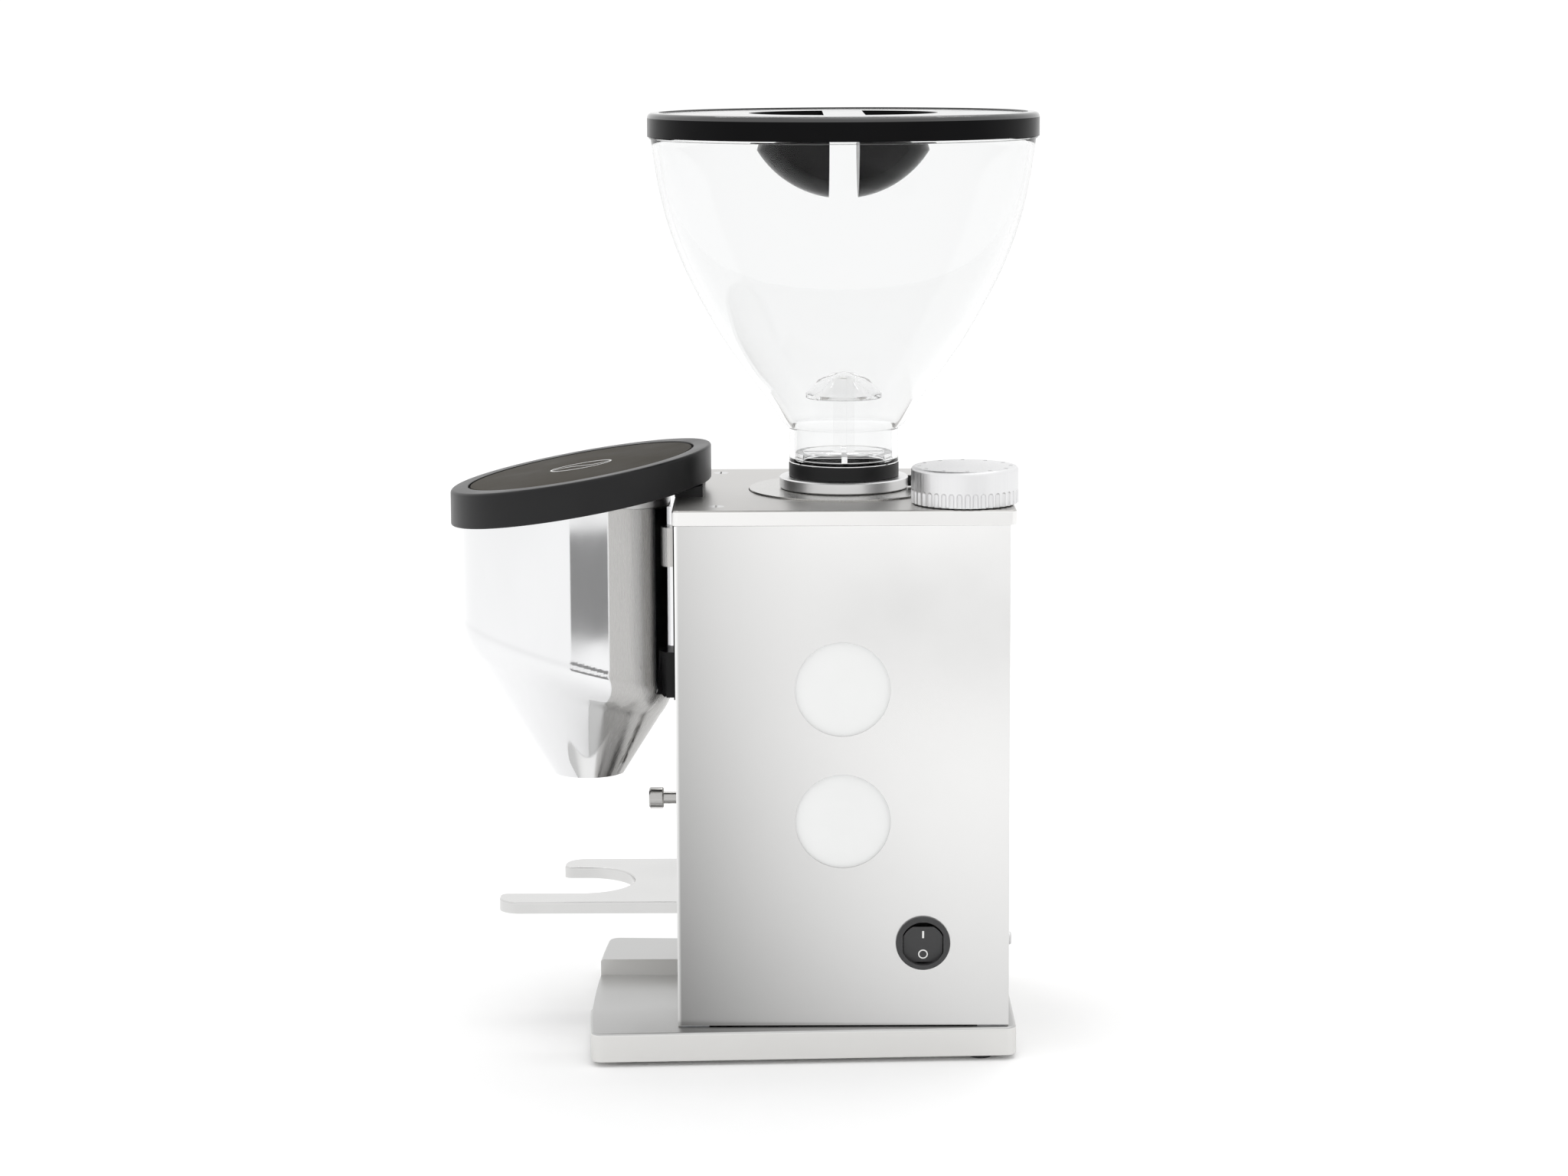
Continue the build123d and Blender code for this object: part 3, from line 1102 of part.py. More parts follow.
def make_small_switch():
    y0 = LEVER_Y + 4.6
    body = block(-18, 6, y0, y0 + 6.4, BUTTON_Z - 10.8, BUTTON_Z + 4)
    return body + block(-19.6, -18, LEVER_Y - 1.0, y0 + 6, BUTTON_Z - 10.8, BUTTON_Z + 4)


def make_lever():
    """The small switch's spring leaf, on a pivot at its -X end."""
    leaf = block(-LEVER_ARM, 4, LEVER_Y, LEVER_Y + 0.4, BUTTON_Z - 2.2, BUTTON_Z + 2.2)
    return leaf + post(0.6, BUTTON_Z - 3, BUTTON_Z + 3, -LEVER_ARM, LEVER_Y + 0.2)


# ---- write every piece -----------------------------------------------------------------
def all_pieces():
    funnel_blank = funnel_body(0.0)
    bracket = make_funnel_bracket(funnel_blank)
    return {
        "base_plate": make_base(),
        "feet": make_feet(),
        "side_panel_right": make_side_panel(1),
        "side_panel_left": make_side_panel(-1),
        "window_backings": group([make_backing(1), make_backing(-1)]),
        "front_panel": make_front_panel(),
        "rear_panel": make_rear_panel(),
        "frame_posts": make_posts(),
        "top_plate": make_top_plate(),
        "top_plate_screws": make_plate_screws(),
        "power_inlet": make_inlet(),
        "inlet_screws": make_inlet_screws(),
        "power_switch_body": make_switch_body(),
        "power_switch_rocker": make_rocker(),
        "control_board": make_control_board(),
        "run_capacitor": make_capacitor(),
        "wiring_harness": make_harness(),
        "bridge_plate": make_bridge(),
        "motor_housing": make_motor_housing(),
        "motor_lower_bell": make_bell(MOTOR_LOW, MOTOR_LOW + 3),
        "motor_upper_bell": make_bell(BRIDGE_LOW - BELL_T, BRIDGE_LOW - BEARING_T) - screw_shanks(),
        "motor_screws": make_motor_screws(),
        "motor_bearings": make_bearings(),
        "stator_core": make_stator(),
        "stator_windings": make_windings(),
        "rotor_core": make_rotor(),
        "motor_shaft": post(SHAFT_R, SHAFT_LOW, LOWER_BURR_LOW - 1, 0, BURR_Y),
        "cooling_fan": make_fan(),
        "grinding_chamber": make_chamber(),
        "lower_burr_carrier": make_lower_carrier(),
        "lower_burr": make_lower_burr(),
        "lower_burr_screws": make_lower_burr_screws(),
        "upper_burr_carrier": make_upper_carrier(),
        "upper_burr": make_upper_burr(),
        "upper_burr_screws": make_upper_burr_screws(),
        "hopper_collar": make_collar(),
        "hopper_lock_screw": make_lock_screw(),
        "adjusting_ring": make_ring(),
        "knob_pinion": make_pinion(),
        "spindle_bush": make_spindle_bush(),
        "adjusting_knob": make_knob(),
        "hopper": make_hopper(),
        "neck_ring": make_neck_ring(),
        "bean_guard": make_bean_guard(),
        "hopper_lid": make_lid(),
        "outlet_duct": make_duct(),
        "funnel": make_funnel(),
        "funnel_bracket": bracket,
        "head_housing": make_head_housing(),
        "head_glass": make_head_glass(),
        "head_board": make_head_board(),
        "head_seat": make_head_seat(),
        "portafilter_fork": make_fork(),
        "inner_brackets": group([make_fork_bracket(), make_button_bracket()]),
        "front_screws": group([make_bracket_screws(), make_fork_screws()]),
        "dose_button": make_button(),
        "button_spring": make_button_spring(),
        "button_bush": make_button_bush(),
        "small_switch": make_small_switch(),
        "small_switch_lever": make_lever(),
    }


def main():
    os.makedirs("parts", exist_ok=True)
    for name, solid in all_pieces().items():
        moved = group([Pos(0, FRAME_SHIFT, 0) * one for one in solid.solids()])
        export_step(moved, os.path.join("parts", name + ".step"))
        print(name)


main()
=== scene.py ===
import json
import math

import bmesh
import bpy
import numpy as np
from mathutils import Matrix, Vector


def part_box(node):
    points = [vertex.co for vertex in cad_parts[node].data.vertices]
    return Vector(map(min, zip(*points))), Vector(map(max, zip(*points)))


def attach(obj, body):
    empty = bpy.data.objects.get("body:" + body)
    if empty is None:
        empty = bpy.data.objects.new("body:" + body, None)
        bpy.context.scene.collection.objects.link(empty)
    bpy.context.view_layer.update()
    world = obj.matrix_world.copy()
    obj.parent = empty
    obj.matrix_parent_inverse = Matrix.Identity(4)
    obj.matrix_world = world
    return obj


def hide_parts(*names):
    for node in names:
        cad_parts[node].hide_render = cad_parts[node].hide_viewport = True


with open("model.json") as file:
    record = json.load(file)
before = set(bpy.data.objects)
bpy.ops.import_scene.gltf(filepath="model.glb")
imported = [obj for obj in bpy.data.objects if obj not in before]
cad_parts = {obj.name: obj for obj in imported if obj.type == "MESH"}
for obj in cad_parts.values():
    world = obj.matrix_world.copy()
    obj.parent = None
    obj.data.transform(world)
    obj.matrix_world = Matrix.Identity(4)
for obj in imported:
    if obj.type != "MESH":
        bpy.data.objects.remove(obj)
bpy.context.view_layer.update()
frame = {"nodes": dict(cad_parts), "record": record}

# Burr coffee grinder. Metres, +Z up, front along -Y, power switch on +X.
MM = 0.001
SHIFT_Y = 41.65 * MM                      # the case's middle, along Y
BURR_AXIS = (0.0, SHIFT_Y + 1.7 * MM)
HEAD_BEHIND = -112.4                      # the case's middle to the head's axis, in millimetres
HEAD_AXIS = (0.0, SHIFT_Y + HEAD_BEHIND * MM)
HEAD_LOW = 230.9                          # the head's underside on its axis, in millimetres
HEAD_SLOPE = math.tan(math.radians(9.75))
DISC_TOP = 14.94                          # head's underside to the inset disc's top
MARK_WIDTH = 0.7
MARK_HEIGHT = 0.12
MOUTH_BEHIND = -110.2                     # the case's middle to the funnel mouth's axis
CYLINDER_BEHIND = -119.0                  # the same to the axis of the funnel's cylinder
CYLINDER_R = 45.5
MOUTH_R = 16.0
MOUTH_Z = 111.0
CONE_SLOPE = 0.62
ROCKER_X = 62.5                           # the switch rocker's pin
ROCKER_BEHIND = 33.7
ROCKER_Z = 50.7


# ---- meshes ----------------------------------------------------------------------------
def mesh_object(name, points, faces):
    """Makes an object from points and faces, merges doubles, and turns every face outwards."""
    mesh = bpy.data.meshes.new(name)
    mesh.from_pydata(np.asarray(points, float).reshape(-1, 3).tolist(), [], np.asarray(faces).tolist())
    bm = bmesh.new()
    bm.from_mesh(mesh)
    bmesh.ops.remove_doubles(bm, verts=bm.verts, dist=1e-6)
    bmesh.ops.recalc_face_normals(bm, faces=bm.faces)
    bm.to_mesh(mesh)
    bm.free()
    obj = bpy.data.objects.new(name, mesh)
    bpy.context.scene.collection.objects.link(obj)
    return obj


def smooth(obj, degrees=32):
    """Smooth shading, with edges sharper than the angle kept."""
    obj.data.set_sharp_from_angle(angle=math.radians(degrees))
    obj.data.polygons.foreach_set("use_smooth", np.ones(len(obj.data.polygons), bool))
    return obj


def grid_faces(rows, columns, wrap):
    """Quads of a rows x columns grid of points. wrap joins the last column to the first."""
    r, c = np.meshgrid(np.arange(rows - 1), np.arange(columns if wrap else columns - 1), indexing="ij")
    n = (c + 1) % columns
    quads = np.stack([r * columns + c, r * columns + n, (r + 1) * columns + n, (r + 1) * columns + c], -1)
    return quads.reshape(-1, 4)


def rounded(points, radii, steps=6):
    """A line whose inner corners are arcs: each arc touches both runs at radius / tan(half angle)."""
    out = [np.array(points[0], float)]
    for a, b, c, r in zip(points[:-2], points[1:-1], points[2:], radii):
        a, b, c = (np.array(p, float) for p in (a, b, c))
        u, v = (a - b) / np.linalg.norm(a - b), (c - b) / np.linalg.norm(c - b)
        half = math.acos(float(np.clip(u @ v, -1, 1))) / 2
        if r <= 0 or half > 1.55:
            out.append(b)
            continue
        reach = r / math.tan(half)
        start, end = b + u * reach, b + v * reach
        t = np.linspace(0, 1, steps + 1)[:, None]
        centre = b + (u + v) / np.linalg.norm(u + v) * r / math.sin(half)
        s = (1 - t) * (start - centre) + t * (end - centre)
        out.extend(centre + s / np.linalg.norm(s, axis=1)[:, None] * r)
    out.append(np.array(points[-1], float))
    return np.array(out)


def lathe(name, profile, centre, around=128, slope=0.0):
    """Point (r, h), in millimetres, at angle t goes to (cx + r sin t, cy + r cos t, h + slope r cos t)."""
    profile = np.asarray(profile, float) * MM
    t = np.linspace(0, 2 * math.pi, around, endpoint=False)
    r, h = profile[:, :1], profile[:, 1:]
    x = centre[0] + r * np.sin(t)
    y = centre[1] + r * np.cos(t)
    z = h + slope * r * np.cos(t)
    return mesh_object(name, np.stack([x, y, z], -1), grid_faces(len(profile), around, True))


def smooth_line(points, count):
    """Cubic Hermite curve through points, with each slope the mean of its two neighbours' runs."""
    p = np.asarray(points, float)
    d = np.gradient(p, axis=0)
    s = np.linspace(0, len(p) - 1, count)
    i = np.minimum(s.astype(int), len(p) - 2)
    u = (s - i)[:, None]
    a, b = 2 * u ** 3 - 3 * u ** 2 + 1, u ** 3 - 2 * u ** 2 + u
    c, e = -2 * u ** 3 + 3 * u ** 2, u ** 3 - u ** 2
    return a * p[i] + b * d[i] + c * p[i + 1] + e * d[i + 1]


def inset_line(line, depth):
    """A line moved sideways by depth along its own normals, towards the axis."""
    d = np.gradient(line, axis=0)
    d /= np.linalg.norm(d, axis=1)[:, None]
    return line + depth * np.stack([-d[:, 1], d[:, 0]], -1)


def copy_of(node, degrees=30):
    """A merged, smooth-shaded copy of a CAD node, which stands for it."""
    source = frame["nodes"][node]
    obj = source.copy()
    obj.data = source.data.copy()
    obj.name = node + "_finished"
    for key in list(obj.keys()):
        del obj[key]
    obj.parent = None
    obj.matrix_world = Matrix.Identity(4)
    bpy.context.scene.collection.objects.link(obj)
    bm = bmesh.new()
    bm.from_mesh(obj.data)
    bmesh.ops.remove_doubles(bm, verts=bm.verts, dist=2e-6)
    bm.to_mesh(obj.data)
    bm.free()
    if obj.data.has_custom_normals:
        obj.data.attributes.remove(obj.data.attributes["custom_normal"])
    weighted = obj.modifiers.new("flat_faces_first", "WEIGHTED_NORMAL")
    weighted.keep_sharp = True
    return smooth(obj, degrees)


def face_values(obj, what):
    """Each face's "normal" or "center", as one row per face."""
    values = np.empty(len(obj.data.polygons) * 3)
    obj.data.polygons.foreach_get(what, values)
    return values.reshape(-1, 3)


def second_finish(obj, material, chosen):
    """Gives the chosen faces of a finished piece another material."""
    obj.data.materials.append(material)
    obj.data.polygons.foreach_set("material_index", chosen.astype(np.int32))
    obj.data.update()


def place(obj, material, body, slot, *nodes):
    """Gives a piece its finish and its CAD body, and hides the CAD nodes that it stands for."""
    obj.data.materials.clear()
    obj.data.materials.append(material)
    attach(obj, body)
    if nodes:
        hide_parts(*nodes)
    return obj


# ---- materials -------------------------------------------------------------------------
def start_material(name, color, metallic, roughness):
    mat = bpy.data.materials.new(name)
    mat.use_nodes = True
    shader = mat.node_tree.nodes["Principled BSDF"]
    shader.inputs["Base Color"].default_value = (*color, 1)
    shader.inputs["Metallic"].default_value = metallic
    shader.inputs["Roughness"].default_value = roughness
    return mat, shader


def add_noise(mat, stretch, detail=3.0, seed=0.0):
    """Noise on Object coordinates; stretch is how many times it repeats per metre along X, Y and Z."""
    nodes, links = mat.node_tree.nodes, mat.node_tree.links
    where = nodes.new("ShaderNodeTexCoord")
    mapping = nodes.new("ShaderNodeMapping")
    mapping.inputs["Scale"].default_value = stretch
    mapping.inputs["Location"].default_value = (seed, seed * 1.7, seed * 0.6)
    noise = nodes.new("ShaderNodeTexNoise")
    noise.inputs["Scale"].default_value = 1.0
    noise.inputs["Detail"].default_value = detail
    links.new(where.outputs["Object"], mapping.inputs["Vector"])
    links.new(mapping.outputs["Vector"], noise.inputs["Vector"])
    return noise


def spread(mat, source, low, high, begin=0.3, end=0.7):
    """A number that goes from low to high as the source goes from begin to end."""
    node = mat.node_tree.nodes.new("ShaderNodeMapRange")
    node.inputs["From Min"].default_value = begin
    node.inputs["From Max"].default_value = end
    node.inputs["To Min"].default_value = low
    node.inputs["To Max"].default_value = high
    mat.node_tree.links.new(source, node.inputs["Value"])
    return node.outputs["Result"]


def tint(mat, source, dark, light):
    """A colour between two tones."""
    node = mat.node_tree.nodes.new("ShaderNodeMix")
    node.data_type = "RGBA"
    node.inputs["A"].default_value = (*dark, 1)
    node.inputs["B"].default_value = (*light, 1)
    mat.node_tree.links.new(source, node.inputs["Factor"])
    return node.outputs["Result"]


def bump(mat, shader, source, height_mm, strength=1.0):
    node = mat.node_tree.nodes.new("ShaderNodeBump")
    node.inputs["Strength"].default_value = strength
    node.inputs["Distance"].default_value = height_mm * MM
    mat.node_tree.links.new(source, node.inputs["Height"])
    mat.node_tree.links.new(node.outputs["Normal"], shader.inputs["Normal"])


def calculate(mat, operation, first, second):
    node = mat.node_tree.nodes.new("ShaderNodeMath")
    node.operation = operation
    mat.node_tree.links.new(first, node.inputs[0])
    mat.node_tree.links.new(second, node.inputs[1])
    return node.outputs["Value"]


def brushed_metal(name, color, rough, along, fine=2600, shade=0.06, height=0.002):
    """Metal with fine lines along one axis, and slow changes in tone and gloss."""
    mat, shader = start_material(name, color, 1.0, rough)
    stretch = [fine, fine, fine]
    stretch[along] = fine / 60
    lines = add_noise(mat, stretch, 2.0)
    cloud = add_noise(mat, (14, 14, 14), 4.0, 3.0)
    links = mat.node_tree.links
    dark = tuple(c * (1 - shade) for c in color)
    links.new(tint(mat, spread(mat, cloud.outputs["Fac"], 0, 1), dark, color), shader.inputs["Base Color"])
    links.new(spread(mat, lines.outputs["Fac"], rough * 0.75, rough * 1.3), shader.inputs["Roughness"])
    bump(mat, shader, lines.outputs["Fac"], height, 0.5)
    return mat


def blasted_metal(name, color, rough):
    """Evenly blasted metal: fine grain, the same every way, and slow cloudy changes in tone and gloss."""
    mat, shader = start_material(name, color, 1.0, rough)
    grain = add_noise(mat, (2200, 2200, 2200), 2.0)
    cloud = add_noise(mat, (9, 9, 9), 4.0, 6.0)
    links = mat.node_tree.links
    dark = tuple(c * 0.96 for c in color)
    links.new(tint(mat, spread(mat, cloud.outputs["Fac"], 0, 1), dark, color), shader.inputs["Base Color"])
    links.new(spread(mat, cloud.outputs["Fac"], rough * 0.9, rough * 1.1), shader.inputs["Roughness"])
    bump(mat, shader, grain.outputs["Fac"], 0.003, 0.5)
    return mat


def plated_metal(name, color, rough=0.05, smudge=0.05):
    """Polished plating with faint wiped smudges that dull it a little."""
    mat, shader = start_material(name, color, 1.0, rough)
    wipe = add_noise(mat, (30, 30, 12), 5.0, 1.3)
    links = mat.node_tree.links
    links.new(spread(mat, wipe.outputs["Fac"], rough, rough + smudge, 0.45, 0.75),
              shader.inputs["Roughness"])
    dark = tuple(c * 0.96 for c in color)
    links.new(tint(mat, spread(mat, wipe.outputs["Fac"], 0, 1), color, dark), shader.inputs["Base Color"])
    return mat


def moulded_plastic(name, color, rough, grain_mm=0.35, height=0.01, fleck=0.25, gloss=0.5):
    """Moulded plastic: fine grain in the height, cloudy gloss, and slightly uneven colour."""
    mat, shader = start_material(name, color, 0.0, rough)
    per_metre = 1000 / grain_mm
    grain = add_noise(mat, (per_metre,) * 3, 2.0)
    cloud = add_noise(mat, (35, 35, 35), 4.0, 2.2)
    links = mat.node_tree.links
    light = tuple(min(1.0, c * (1 + fleck)) for c in color)
    links.new(tint(mat, spread(mat, cloud.outputs["Fac"], 0, 1), color, light), shader.inputs["Base Color"])
    links.new(spread(mat, cloud.outputs["Fac"], rough * 0.85, rough * 1.15), shader.inputs["Roughness"])
    shader.inputs["Specular IOR Level"].default_value = gloss
    bump(mat, shader, grain.outputs["Fac"], height, 0.6)
    return mat


def clear_plastic(name, color, rough=0.01, ior=1.45):
    """Clear moulded plastic with faint flow waves."""
    mat, shader = start_material(name, color, 0.0, rough)
    shader.inputs["Transmission Weight"].default_value = 1.0
    shader.inputs["IOR"].default_value = ior
    wave = add_noise(mat, (28, 28, 9), 2.0, 4.0)
    mat.node_tree.links.new(spread(mat, wave.outputs["Fac"], rough, rough * 3), shader.inputs["Roughness"])
    bump(mat, shader, wave.outputs["Fac"], 0.05, 0.25)
    return mat


def side_panel_painted_reflection():
    """Polished stainless with painted reflection: its colour is painted brighter to the rear and top and
    dimmer low at the front, with a painted highlight along the front edge, and faint polish lines.
    """
    mat, shader = start_material("panel_stainless_painted_reflection", (0.8, 0.79, 0.775), 1.0, 0.2)
    nodes, links = mat.node_tree.nodes, mat.node_tree.links
    where = nodes.new("ShaderNodeTexCoord")
    parts = nodes.new("ShaderNodeSeparateXYZ")
    links.new(where.outputs["Object"], parts.inputs["Vector"])
    front_y, rear_y = SHIFT_Y - 70 * MM, SHIFT_Y + 70 * MM
    # Painted reflection: the colour runs from dark low at the front to bright at the rear and top, standing
    # in for the room mirrored in the sheet.
    ahead = spread(mat, parts.outputs["Y"], 1.0, 0.0, front_y, rear_y)
    rear = spread(mat, calculate(mat, "MULTIPLY", ahead, ahead), 0.545, 0.0, 0.0, 1.0)
    high = spread(mat, parts.outputs["Z"], 0.0, 0.5, 15 * MM, 229 * MM)
    # Painted highlight: a thin bright band painted along the front edge.
    edge = spread(mat, parts.outputs["Y"], 0.5, 0.0, front_y + 0.4 * MM, front_y + 1.6 * MM)
    total = calculate(mat, "ADD", calculate(mat, "ADD", rear, high), edge)
    tone = tint(mat, total, (0.24, 0.239, 0.236), (0.99, 0.987, 0.98))
    links.new(tone, shader.inputs["Base Color"])
    lines = add_noise(mat, (2600, 50, 2600), 2.0)
    cloud = add_noise(mat, (16, 16, 16), 4.0, 5.0)
    links.new(spread(mat, cloud.outputs["Fac"], 0.2, 0.25), shader.inputs["Roughness"])
    bump(mat, shader, lines.outputs["Fac"], 0.0015, 0.4)
    return mat


# The side panels' colour carries a painted reflection and a painted edge highlight.
painted_reflection_panel = side_panel_painted_reflection()
stainless = blasted_metal("case_stainless", (0.52, 0.51, 0.495), 0.32)
# Painted light: brighter copies of the case and base stainless, so the side faces are painted lighter than
# the tops.
plate_edge_painted_light = blasted_metal("plate_edge_painted_light", (0.86, 0.855, 0.845), 0.34)
base_edge_painted_light = blasted_metal("base_edge_painted_light", (0.74, 0.735, 0.72), 0.34)
upright_stainless = brushed_metal("upright_stainless", (0.6, 0.59, 0.575), 0.27, 2)
base_stainless = blasted_metal("base_stainless", (0.5, 0.5, 0.495), 0.34)
turned_steel = brushed_metal("turned_steel", (0.54, 0.535, 0.52), 0.24, 2, 1500, height=0.001)
chrome = plated_metal("funnel_chrome", (0.82, 0.822, 0.828))
fork_chrome = plated_metal("fork_plating", (0.63, 0.628, 0.622), 0.14, 0.06)
button_steel = plated_metal("button_steel", (0.47, 0.465, 0.455), 0.2, 0.06)
collar_chrome = plated_metal("collar_chrome", (0.82, 0.82, 0.82), 0.34, 0.06)
lid_black = moulded_plastic("lid_black", (0.004, 0.004, 0.0043), 0.2, 0.5, 0.0005, gloss=0.04)
lid_rim = moulded_plastic("lid_rim", (0.006, 0.006, 0.0065), 0.08, 0.5, 0.0003, gloss=1.0)
head_black = moulded_plastic("head_black", (0.011, 0.011, 0.0115), 0.34, 0.3, 0.004, gloss=0.2)
head_disc = moulded_plastic("head_disc", (0.058, 0.053, 0.045), 0.5, 0.3, 0.002, gloss=0.01)
knob_metal = brushed_metal("knob_metal", (0.8, 0.8, 0.805), 0.38, 2, 1200, 0.05)
fitting_black = moulded_plastic("fitting_black", (0.012, 0.012, 0.0125), 0.45, 0.35, 0.01, gloss=0.2)
switch_black = moulded_plastic("switch_black", (0.042, 0.042, 0.043), 0.36, 0.3, 0.004, gloss=0.25)
white_sheet = moulded_plastic("white_backing", (0.78, 0.785, 0.78), 0.6, 0.5, 0.01, 0.03)
grey_plastic = moulded_plastic("capacitor_grey", (0.4, 0.41, 0.43), 0.45)
foot_rubber = moulded_plastic("foot_rubber", (0.018, 0.018, 0.018), 0.75, 0.6, 0.03)
wire_rubber = moulded_plastic("wire_rubber", (0.03, 0.03, 0.034), 0.5)
board_green = moulded_plastic("board_green", (0.02, 0.11, 0.06), 0.4, 2.0, 0.02, 0.8)
screw_steel = brushed_metal("screw_steel", (0.66, 0.66, 0.66), 0.3, 2)
zinc_steel = brushed_metal("zinc_steel", (0.62, 0.63, 0.65), 0.42, 0, 300, 0.3)
motor_steel = brushed_metal("motor_steel", (0.2, 0.21, 0.22), 0.5, 2, 900, 0.3)
cast_aluminium = moulded_plastic("cast_aluminium", (0.6, 0.6, 0.61), 0.5, 0.8, 0.05, 0.1)
cast_aluminium.node_tree.nodes["Principled BSDF"].inputs["Metallic"].default_value = 1.0
copper = brushed_metal("copper_wire", (0.72, 0.36, 0.2), 0.35, 0, 1400, 0.25, 0.05)
brass = brushed_metal("turned_brass", (0.76, 0.6, 0.32), 0.3, 2)
clear = clear_plastic("hopper_clear", (0.935, 0.938, 0.938), 0.01, 1.2)
guard_clear = clear_plastic("guard_clear", (0.97, 0.97, 0.97), 0.02, 1.22)
mark_white = moulded_plastic("mark_white", (0.75, 0.75, 0.74), 0.5, 0.3, 0.002, 0.03)

SLOT_FINISH = {
    "stainless": stainless, "chrome": chrome, "black_plastic": fitting_black, "lid_black": lid_black,
    "head_black": head_black, "head_disc": head_disc, "switch_black": switch_black, "clear_plastic": clear,
    "white_plastic": white_sheet, "grey_plastic": grey_plastic, "rubber": foot_rubber,
    "wire_rubber": wire_rubber, "screw_steel": screw_steel, "turned_aluminium": knob_metal,
    "zinc_steel": zinc_steel, "motor_steel": motor_steel, "cast_aluminium": cast_aluminium,
    "copper_wire": copper, "brass": brass, "circuit_board": board_green}
NODE_FINISH = {
    "side_panel_right": painted_reflection_panel, "side_panel_left": painted_reflection_panel, "front_panel": upright_stainless,
    "rear_panel": upright_stainless, "base_plate": base_stainless, "adjusting_ring": turned_steel,
    "adjusting_knob": knob_metal, "portafilter_fork": fork_chrome, "hopper_collar": collar_chrome,
    "bean_guard": guard_clear, "outlet_duct": upright_stainless, "dose_button": button_steel,
    "button_bush": button_steel}
SLOT_OF = {row["node"]: row["material_slot"] for row in frame["record"]["subparts"]}
BODIES = frame["record"]["behaviour"]["bodies"]
BODY_OF = {node: body for body, nodes in BODIES.items() for node in nodes}


def finish_of(node):
    return NODE_FINISH.get(node, SLOT_FINISH[SLOT_OF[node]])


for node, obj in frame["nodes"].items():
    obj.data.materials.clear()
    obj.data.materials.append(finish_of(node))

SEEN_NODES = [
    "base_plate", "feet", "top_plate", "top_plate_screws", "adjusting_knob", "adjusting_ring",
    "hopper_collar", "neck_ring", "hopper_lock_screw", "bean_guard", "hopper_lid", "portafilter_fork",
    "dose_button", "button_bush", "power_switch_body", "power_switch_rocker", "power_inlet",
    "inlet_screws", "funnel_bracket", "head_seat", "side_panel_right", "side_panel_left"]
seen = {}
for node in SEEN_NODES:
    seen[node] = place(copy_of(node), finish_of(node), BODY_OF[node], SLOT_OF[node], node)

# Painted light: faces that don't face up get the brighter copies, which paints the sides lighter than the
# tops.
for node, material in (("top_plate", plate_edge_painted_light), ("base_plate", base_edge_painted_light)):
    second_finish(seen[node], material, face_values(seen[node], "normal")[:, 2] < 0.35)


def lid_top_faces():
    """The lid's flat top, its grip bar and its rounded outer edge."""
    edge_width, edge_height = 5.2 * MM, 2.2 * MM
    low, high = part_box("hopper_lid")
    middle = face_values(seen["hopper_lid"], "center")
    out = np.hypot(middle[:, 0] - BURR_AXIS[0], middle[:, 1] - BURR_AXIS[1])
    flat = face_values(seen["hopper_lid"], "normal")[:, 2] > 0.9
    rounded_edge = out > (high[0] - low[0]) / 2 - edge_width
    return (flat | rounded_edge) & (middle[:, 2] > high[2] - edge_height)


def bracket_web_faces():
    """The bracket's web and back plate above its black foot, but not the plate's two thin edges."""
    foot_height, plate_half_width = 20 * MM, 18.5 * MM
    middle = face_values(seen["funnel_bracket"], "center")
    above_foot = middle[:, 2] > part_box("funnel_bracket")[0][2] + foot_height
    return above_foot & (np.abs(middle[:, 0]) < plate_half_width)


second_finish(seen["hopper_lid"], lid_rim, lid_top_faces())
second_finish(seen["funnel_bracket"], chrome, bracket_web_faces())


# ---- hopper ----------------------------------------------------------------------------
def make_hopper_bell():
    """Outside line turned about the burr axis, with the same line moved in by the wall for the inside."""
    bell = smooth_line([(26.0, 264.0), (32.8, 274.4), (42.8, 287.9), (52.2, 301.4), (60.0, 314.9),
                        (67.0, 328.4), (72.6, 341.9), (76.9, 355.4), (79.9, 369.0), (82.6, 387.0)], 60)
    inner = inset_line(bell, 2.5)
    neck = rounded([(20.3, 236.9), (20.3, 247.5), (23.7, 247.5), (23.7, 262.6), tuple(bell[0])],
                   (0.1, 0.2, 0.8))
    bore = rounded([tuple(inner[0]), (21.2, 262.6), (21.2, 249.0), (17.9, 248.6), (17.9, 236.9)],
                   (1.5, 0.4, 0.3))
    rim = [(83.2, 387.2), (83.5, 387.7), (83.2, 388.7), (81.2, 388.9)]
    line = np.vstack([neck[:-1], bell, rim, inner[::-1], bore[1:], neck[:1]])
    return smooth(lathe("hopper_bell", line, BURR_AXIS, 192), 40)


place(make_hopper_bell(), clear, "hopper", "clear_plastic", "hopper")


# ---- funnel ----------------------------------------------------------------------------
def funnel_skin(inset, across, down):
    """Rays from the mouth's axis: each ends at the soft minimum of the distances to cylinder and cone."""
    t = np.linspace(0, 2 * math.pi, across, endpoint=False)[None, :]
    z = np.linspace(0, 1, down)[:, None]
    gap = MOUTH_BEHIND - CYLINDER_BEHIND
    r_cyl = -gap * np.cos(t) + np.sqrt((CYLINDER_R - inset) ** 2 - (gap * np.sin(t)) ** 2)
    top = HEAD_LOW + HEAD_SLOPE * (MOUTH_BEHIND + r_cyl * np.cos(t) - HEAD_BEHIND) - 0.05
    height = MOUTH_Z + (top - MOUTH_Z) * z
    r_cone = MOUTH_R + CONE_SLOPE * (height - MOUTH_Z) - inset * 1.18
    soft = 5.0
    h = np.clip(0.5 + 0.5 * (r_cone - r_cyl) / soft, 0, 1)
    r = r_cone * (1 - h) + r_cyl * h - soft * h * (1 - h) * 0.5
    x = r * np.sin(t)
    y = MOUTH_BEHIND + r * np.cos(t)
    return np.stack([x, y + SHIFT_Y / MM, height + 0 * x], -1) * MM


